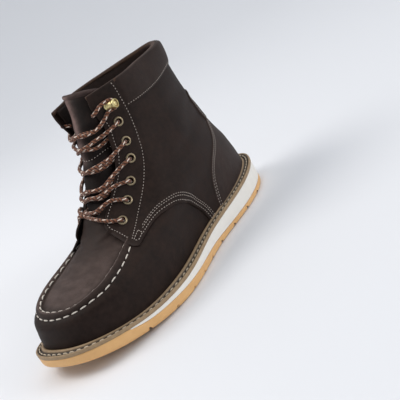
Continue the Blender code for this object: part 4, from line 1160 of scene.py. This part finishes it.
def lowest_lace(t, z):
    """Least distance from the skin at which the lace lies on what is under it."""
    edge = throat_edge(z) if z > THROAT_Z else 0.0
    on_vamp = ramp(abs(t) - edge, -0.05, 0.05) if z < 96 else 0.0
    ground = LACE_UNDER + tongue_swell(t / tongue_half(z), z)
    return ground + (LACE_ON_VAMP - ground) * max(on_vamp, ramp(z, 88, 84))


def strand_line(side, eyelet, way, hooked):
    """Points of one strand: out of its eyelet, or past its hook, over the tongue and under the other edge."""
    eye_t, eye_z = eyelet
    if hooked:
        line = [skin(side * (eye_t + dt), eye_z + dz, FACE + 3.0) for dt, dz in ((0.06, 1.0), (0.05, -3.2))]
    else:
        line = [skin(side * eye_t, eye_z, depth) for depth in (-6.0, -1.5)]
        out_t, out_z = np.array(eyelet) + 0.22 * (np.array(way[0]) - eyelet)
        line.append(skin(side * out_t, out_z, FACE + 2.0))
    # the outer side's strands cross over the inner side's
    middle = 0.2 if side > 0 else LACE_UNDER + 0.2
    for t, z in way:
        own = np.clip(t / max(throat_edge(z), 0.3), -1, 1)
        if own >= 0:
            lift = middle + (LACE_OVER - middle) * ramp(own, 0.0, 0.84) ** 1.3
        else:
            lift = middle + (LACE_UNDER - middle) * ramp(own, 0.0, -0.6)
        clear = 0.8 if side > 0 and z < 92 else 0.0
        line.append(skin(side * t, z, max(lift, lowest_lace(side * t, z) + clear)))
    z = way[-1][1]
    edge = max(throat_edge(z), 0.5)
    line.append(skin(-side * edge, z + 0.5, LACE_UNDER))
    line.append(skin(-side * (edge + 0.12), z + 1.5, LACE_UNDER - 0.4))
    return line


def make_lace():
    """Round lace: each strand leaves an eyelet, crosses the tongue and goes under the other edge."""
    lines = []
    for side, _ in SIDES:
        for k, way in enumerate(STRANDS):
            if k == len(EYELETS) and side < 0:
                way = LOWEST_INNER
            lines.append(strand_line(side, ([HOOK] + EYELETS)[k], way, hooked=k == 0))
    for side, _ in SIDES:
        lines.append([skin(side * t, z, FACE + off) for t, z, off in LACE_END])
        lines[-1].append(skin(side * LACE_TUCK[0], LACE_TUCK[1], LACE_UNDER))
    verts, faces, uvs = [], [], []
    for line in lines:
        add_cord(verts, faces, uvs, spline(np.array(line), 1.5))
    obj = solid_piece("lace_cord", verts, faces, LACE, slot="lace_cord", merge=False)
    layer = obj.data.uv_layers.new(name="cord")
    layer.data.foreach_set("uv", np.array([uvs[loop.vertex_index] for loop in obj.data.loops]).ravel())
    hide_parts("lace")


def add_cord(verts, faces, uvs, line, count=12):
    """Tube along a line with flat ends; UV runs along it in mm."""
    step = unit(np.gradient(line, axis=0))
    side = unit(np.cross(step, [0.3, 0.1, 1.0]))
    other = np.cross(step, side)
    first, wide = len(verts), count + 1
    for p, u, v, s in zip(line, side, other, run_along(line)):
        for k in range(wide):
            a = TURN * k / count
            verts.append(p + LACE_R * (math.cos(a) * u + math.sin(a) * v))
            uvs.append((s, k / count))
    faces += [tuple(first + j for j in quad) for quad in ring_faces(len(line), wide, closed_cols=False)]
    last = len(verts) - wide
    faces += [tuple(range(first, first + count))[::-1], tuple(range(last, last + count))]


# Sole and insole

SLAB_STEP, SLAB_CLEAR = 12.0, 2.5        # points over a plate's faces, and how far they stay from its edge
# sides of tread, wedge and insole: share of the height, inset
TREAD_RIMS = [(0.0, 1.6), (0.06, 0.8), (0.16, 0.25), (0.30, 0.0), (0.92, 0.0), (1.0, 0.5)]
WEDGE_RIMS = [(0.0, 0.7), (0.04, 0.2), (0.15, 0.0), (0.5, 0.25), (0.85, 0.0), (0.96, 0.2), (1.0, 0.7)]
INSOLE_RIMS = [(0.0, 0.0), (0.7, 0.0), (1.0, 0.8)]
# welt: share of the ledge from the upper outwards, height above the sole, darkness (painted shade in the
# channel and by the upper)
WELT_PROFILE = [(0.0, -0.05, 0), (1.0, -0.05, 0), (1.015, 0.8, 0), (1.015, 2.0, 0), (0.99, 2.8, 0),
                (0.93, 3.15, 0), (0.85, 3.1, 0.1), (0.79, 2.7, 0.6), (0.74, 2.1, 1), (0.60, 1.9, 1),
                (0.44, 2.1, 1), (0.38, 2.9, 0.8), (0.33, 3.8, 0.2), (0.26, 4.4, 0), (0.14, 4.6, 0),
                (0.03, 4.3, 0.6), (-0.10, 3.2, 1)]
WELT_ROW = (0.60, 2.5)                   # place of its stitches: share of the ledge, height


def slab(name, outline, low, high, mat, slot, rims, node, across=()):
    """Plate in plan between two heights over x; rims gives the side's profile as (share of height, inset)."""
    rows = []
    for share, inset in rims:
        p = outline(inset)
        rows.append(np.c_[p, low(p[:, 0]) * (1 - share) + high(p[:, 0]) * share])
    inner = outline(rims[0][1])
    lo, hi = inner.min(0), inner.max(0)
    gx, gy = np.meshgrid(np.arange(lo[0], hi[0], SLAB_STEP), np.arange(lo[1], hi[1], SLAB_STEP))
    bars = [np.c_[np.full(24, x), np.linspace(lo[1], hi[1], 24)] for x in across]
    grid = np.concatenate([np.c_[gx.ravel(), gy.ravel()], *bars])
    grid = grid[within(grid, inner)]
    grid = grid[loop_distance(grid, inner) > SLAB_CLEAR]
    n = len(inner)
    verts, faces = np.concatenate(rows), ring_faces(len(rows), n)
    for border, height, turn in ((rows[0], low, -1), (rows[-1], high, 1)):
        flat, tris = triangulate([border[:, :2]], grid)
        cap = np.c_[flat, height(flat[:, 0])]
        cap[:n] = border
        faces += [tuple(len(verts) + k for k in t[::turn]) for t in tris]
        verts = np.concatenate([verts, cap])
    obj = solid_piece(name, verts, faces, mat, slot=slot, smooth_angle=35)
    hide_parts(node)
    return obj


def make_sole():
    """Tan outsole with its zigzag grooves, and the white wedge, whose side has a slight hollow."""
    ring = np.linspace(-math.pi, math.pi, 241)[:-1]
    # the wedge's outline leaves out the toe in front of its tip
    tip = math.acos(((WEDGE_TIP - 0.3 - SOLE_WIDEST) / (SOLE_HALF - SOLE_WIDEST)) ** (1 / SOLE_ROUND))
    around = tip + np.arange(240) / 240 * (TURN - 2 * tip)

    def tread_top(x):
        return np.where(x > WEDGE_TIP, sole_top(x), np.minimum(wedge_line(x), sole_top(x))) - 0.1

    def wedge(inset):
        side = sole_edge(around, inset)
        return np.concatenate([side, np.linspace(side[-1], side[0], 14)[1:-1]])

    tread = lambda inset: sole_edge(ring, inset)
    outsole = slab("outsole_rubber", tread, sole_bottom, tread_top, GUM, "tan_rubber", TREAD_RIMS, "outsole",
                   across=(WEDGE_TIP - 0.3, WEDGE_TIP + 0.3))
    for x, bare in GROOVES:
        for side in ((-1, 1) if bare else (0,)):
            cutter = groove(x, bare, side)
            apply_modifier(outsole, "groove", "BOOLEAN", operation="DIFFERENCE", solver="EXACT",
                           object=cutter)
            bpy.data.objects.remove(cutter, do_unlink=True)
    choose(outsole)
    bpy.ops.object.shade_smooth_by_angle(angle=math.radians(35))
    slab("midsole_foam", wedge, lambda x: wedge_line(x) + 0.1, lambda x: sole_top(x) - 0.05, FOAM,
         "white_foam", WEDGE_RIMS, "midsole")


def groove(x_at, bare, side):
    """Zigzag cutter across the sole: steep in front, sloping behind."""
    reach = 6 * ZIG_STEP
    turns = np.arange(-reach, reach + 1, ZIG_STEP)
    y = np.arange(-reach, reach + 1, 2.0)
    zig = np.interp(y, turns, ZIG_REACH * (-1.0) ** np.arange(len(turns)))
    zig = np.convolve(np.pad(zig, 1, mode="edge"), [0.25, 0.5, 0.25], mode="valid")
    if side:
        keep = y * side >= bare
        y, zig = y[keep], zig[keep]
    x = x_at + zig + ZIG_SLANT * y
    middle = np.stack([x, y, sole_bottom(x)], -1)
    section = [(GROOVE_FRONT + 0.5, 0, -GROOVE_PAST), (GROOVE_FRONT, 0, GROOVE_DEEP), (0.2, 0, GROOVE_DEEP),
               (-GROOVE_REAR, 0, -GROOVE_PAST)]
    verts = (middle[:, None] + np.array(section)).reshape(-1, 3)
    n = len(verts)
    faces = ring_faces(len(y), 4) + [(0, 1, 2, 3), (n - 1, n - 2, n - 3, n - 4)]
    cutter = mesh_object("groove_cutter", to_frame(verts), faces)
    tidy_mesh(cutter)
    return cutter


def make_welt(thread):
    """Welt strip: a lip against the upper, a stitch channel and a rounded rim."""
    ring = np.linspace(-math.pi, math.pi, 281)[:-1]
    outer = sole_edge(ring)

    def place(share, height):
        z = above_sole(ring, height)
        near = level(ring, z) + outward(ring, z) * (BASE + 0.35)
        xy = near[:, :2] * (1 - share) + outer * share
        return np.c_[xy, sole_top(xy[:, 0]) + height]

    verts = np.concatenate([place(share, height) for share, height, _ in WELT_PROFILE])
    faces = ring_faces(len(WELT_PROFILE), len(ring), closed_rows=True)
    obj = solid_piece("welt_strip", verts, faces, WELT, slot="welt_strip", merge=False)
    # painted shade in the stitch channel and along the lip by the upper
    paint(obj, "channel", np.repeat([dark for _, _, dark in WELT_PROFILE], len(ring)))
    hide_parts("welt")
    line = place(*WELT_ROW)
    line = np.concatenate([line, line[:1]])
    thread.row(line, np.tile([0.0, 0.0, 1.0], (len(line), 1)), *WELTED)


def make_insole():
    """Cloth-covered insole, just inside the upper's wall."""
    ring = np.linspace(-math.pi, math.pi, 161)[:-1]
    z = above_sole(ring, 2.0)

    def edge(inset):
        return (level(ring, z) + outward(ring, z) * (BASE - WALL - 0.6 - inset))[:, :2]

    slab("insole_cloth", edge, lambda x: sole_top(x) + 0.15, lambda x: sole_top(x) + 3.2, LINING,
         "lining_fabric", INSOLE_RIMS, "insole")


def make_moc_stitches(thread):
    """Heavy stitches along both sides of the ridge."""
    t = np.linspace(-MOC_END, MOC_END, 900)
    outer, inner, _ = moc_lines(t)
    for line, end in ((outer - 0.1, MOC_END), (inner - 0.05, MOC_INNER_END)):
        keep = np.abs(t) < end
        thread.on_skin(np.c_[t, line][keep], (BASE + moc_relief(t, line) + 0.25)[keep], HEAVY)


# Camera, floor and light, from the photograph's angle to the boot

AZIMUTH, ELEVATION, ROLL = (math.radians(v) for v in (132.8914, 18.3995, -29.779))
ACROSS, ABOVE, AWAY = 60.912, -8.775, 656.5      # camera from the point it aims at
AIM = CENTRE + [0.0, 0.0, 80.0]
FOCAL_PX, FRAME_PX, SENSOR = 750.0, 400.0, 36.0
FLOOR_GAP = 0.0002                               # the floor lies this much below the sole (metres)


def link_object(name, data):
    obj = bpy.data.objects.new(name, data)
    bpy.context.scene.collection.objects.link(obj)
    return obj


def make_camera():
    """Camera at the photograph's angle; gives its directions right, up and back."""
    back = np.array([math.sin(AZIMUTH) * math.cos(ELEVATION), -math.cos(AZIMUTH) * math.cos(ELEVATION),
                     math.sin(ELEVATION)])
    level_right = unit(np.cross([0, 0, 1.0], back))
    level_up = np.cross(back, level_right)
    right = math.cos(ROLL) * level_right + math.sin(ROLL) * level_up
    up = -math.sin(ROLL) * level_right + math.cos(ROLL) * level_up
    place = AIM + right * ACROSS + up * ABOVE + back * AWAY
    data = bpy.data.cameras.new("camera")
    data.sensor_width, data.lens, data.clip_start = SENSOR, SENSOR * FOCAL_PX / FRAME_PX, 0.01
    cam = link_object("camera", data)
    cam.matrix_world = Matrix([[right[k], up[k], back[k], place[k] * MM] for k in range(3)] + [[0, 0, 0, 1]])
    bpy.context.scene.camera = cam
    return right, up, back


def facing(direction):
    """Turn of a lamp that shines along a direction."""
    return Vector(direction).to_track_quat("-Z", "Y").to_euler()


def soft_light(name, place, aim, size, watts, tint="#ffffff"):
    data = bpy.data.lights.new(name, "AREA")
    data.shape, data.size, data.energy, data.color = "DISK", size, watts, colour(tint)[:3]
    lamp = link_object(name, data)
    lamp.location, lamp.visible_camera = place, False
    lamp.rotation_euler = facing(aim - place)


def make_floor():
    """Pale floor, flat in the middle, rising far out to a backdrop."""
    count = 96
    angle = TURN * np.arange(count) / count
    reach = np.concatenate([[0.8], np.linspace(1.2, 6.0, 16)])
    rise = 0.30 * np.clip(reach - 1.2, 0, None) ** 1.6 - FLOOR_GAP
    rows = [np.c_[r * np.cos(angle), r * np.sin(angle), np.full(count, h)] for r, h in zip(reach, rise)]
    faces = [tuple(range(count))] + [f[::-1] for f in ring_faces(len(rows), count)]
    floor = mesh_object("floor", np.concatenate(rows), faces)
    floor.data.polygons.foreach_set("use_smooth", [True] * len(floor.data.polygons))
    mat, shader, _, _ = start_material("pale_floor", 0.6)
    feed(shader, {"Base Color": colour("#e5e7eb")})
    floor.data.materials.append(mat)


def make_studio(right, up, back):
    """Pale room, a key lamp from the left, a broad fill from the right and a soft light from above."""
    world = bpy.data.worlds.new("studio")
    bpy.context.scene.world = world
    world.use_nodes = True
    feed(world.node_tree.nodes["Background"], {"Color": colour("#e6eaf0"), "Strength": 0.46})
    aim = np.array([0.0, 0.0, 0.08])
    soft_light("key", aim - right * 1.2 + up * 0.55 + back * 0.25, aim, 0.8, 10.0, "#fffaf5")
    aside = (right * 1.25 + up * 0.25 + back * 0.45) * [1, 1, 0]
    soft_light("fill", unit(aside) * 2.2 + [0.0, 0.0, 0.95], aim, 1.2, 15.0)
    data = bpy.data.lights.new("overhead", "SUN")
    data.energy, data.angle = 0.85, math.radians(70)
    link_object("overhead", data).rotation_euler = facing(right * 0.25 - up - back * 0.15)


def main():
    bpy.context.scene.view_settings.view_transform = "Standard"
    axes = make_camera()
    make_floor()
    make_studio(*axes)
    thin, heavy, welted = Thread(), Thread(), Thread()
    make_shell()
    make_quarters(thin)
    make_heel(thin)
    make_cuff(thin)
    make_collar_roll()
    make_tongue(thin)
    make_eyelets()
    make_hooks()
    make_lace()
    make_sole()
    make_welt(welted)
    make_insole()
    make_moc_stitches(heavy)
    thin.piece("fine_stitches", THREAD, "dark_brown_leather")
    heavy.piece("moc_stitches", MOC_THREAD, "dark_brown_leather")
    welted.piece("welt_stitches", WELT_THREAD, "welt_strip")
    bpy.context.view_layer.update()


main()
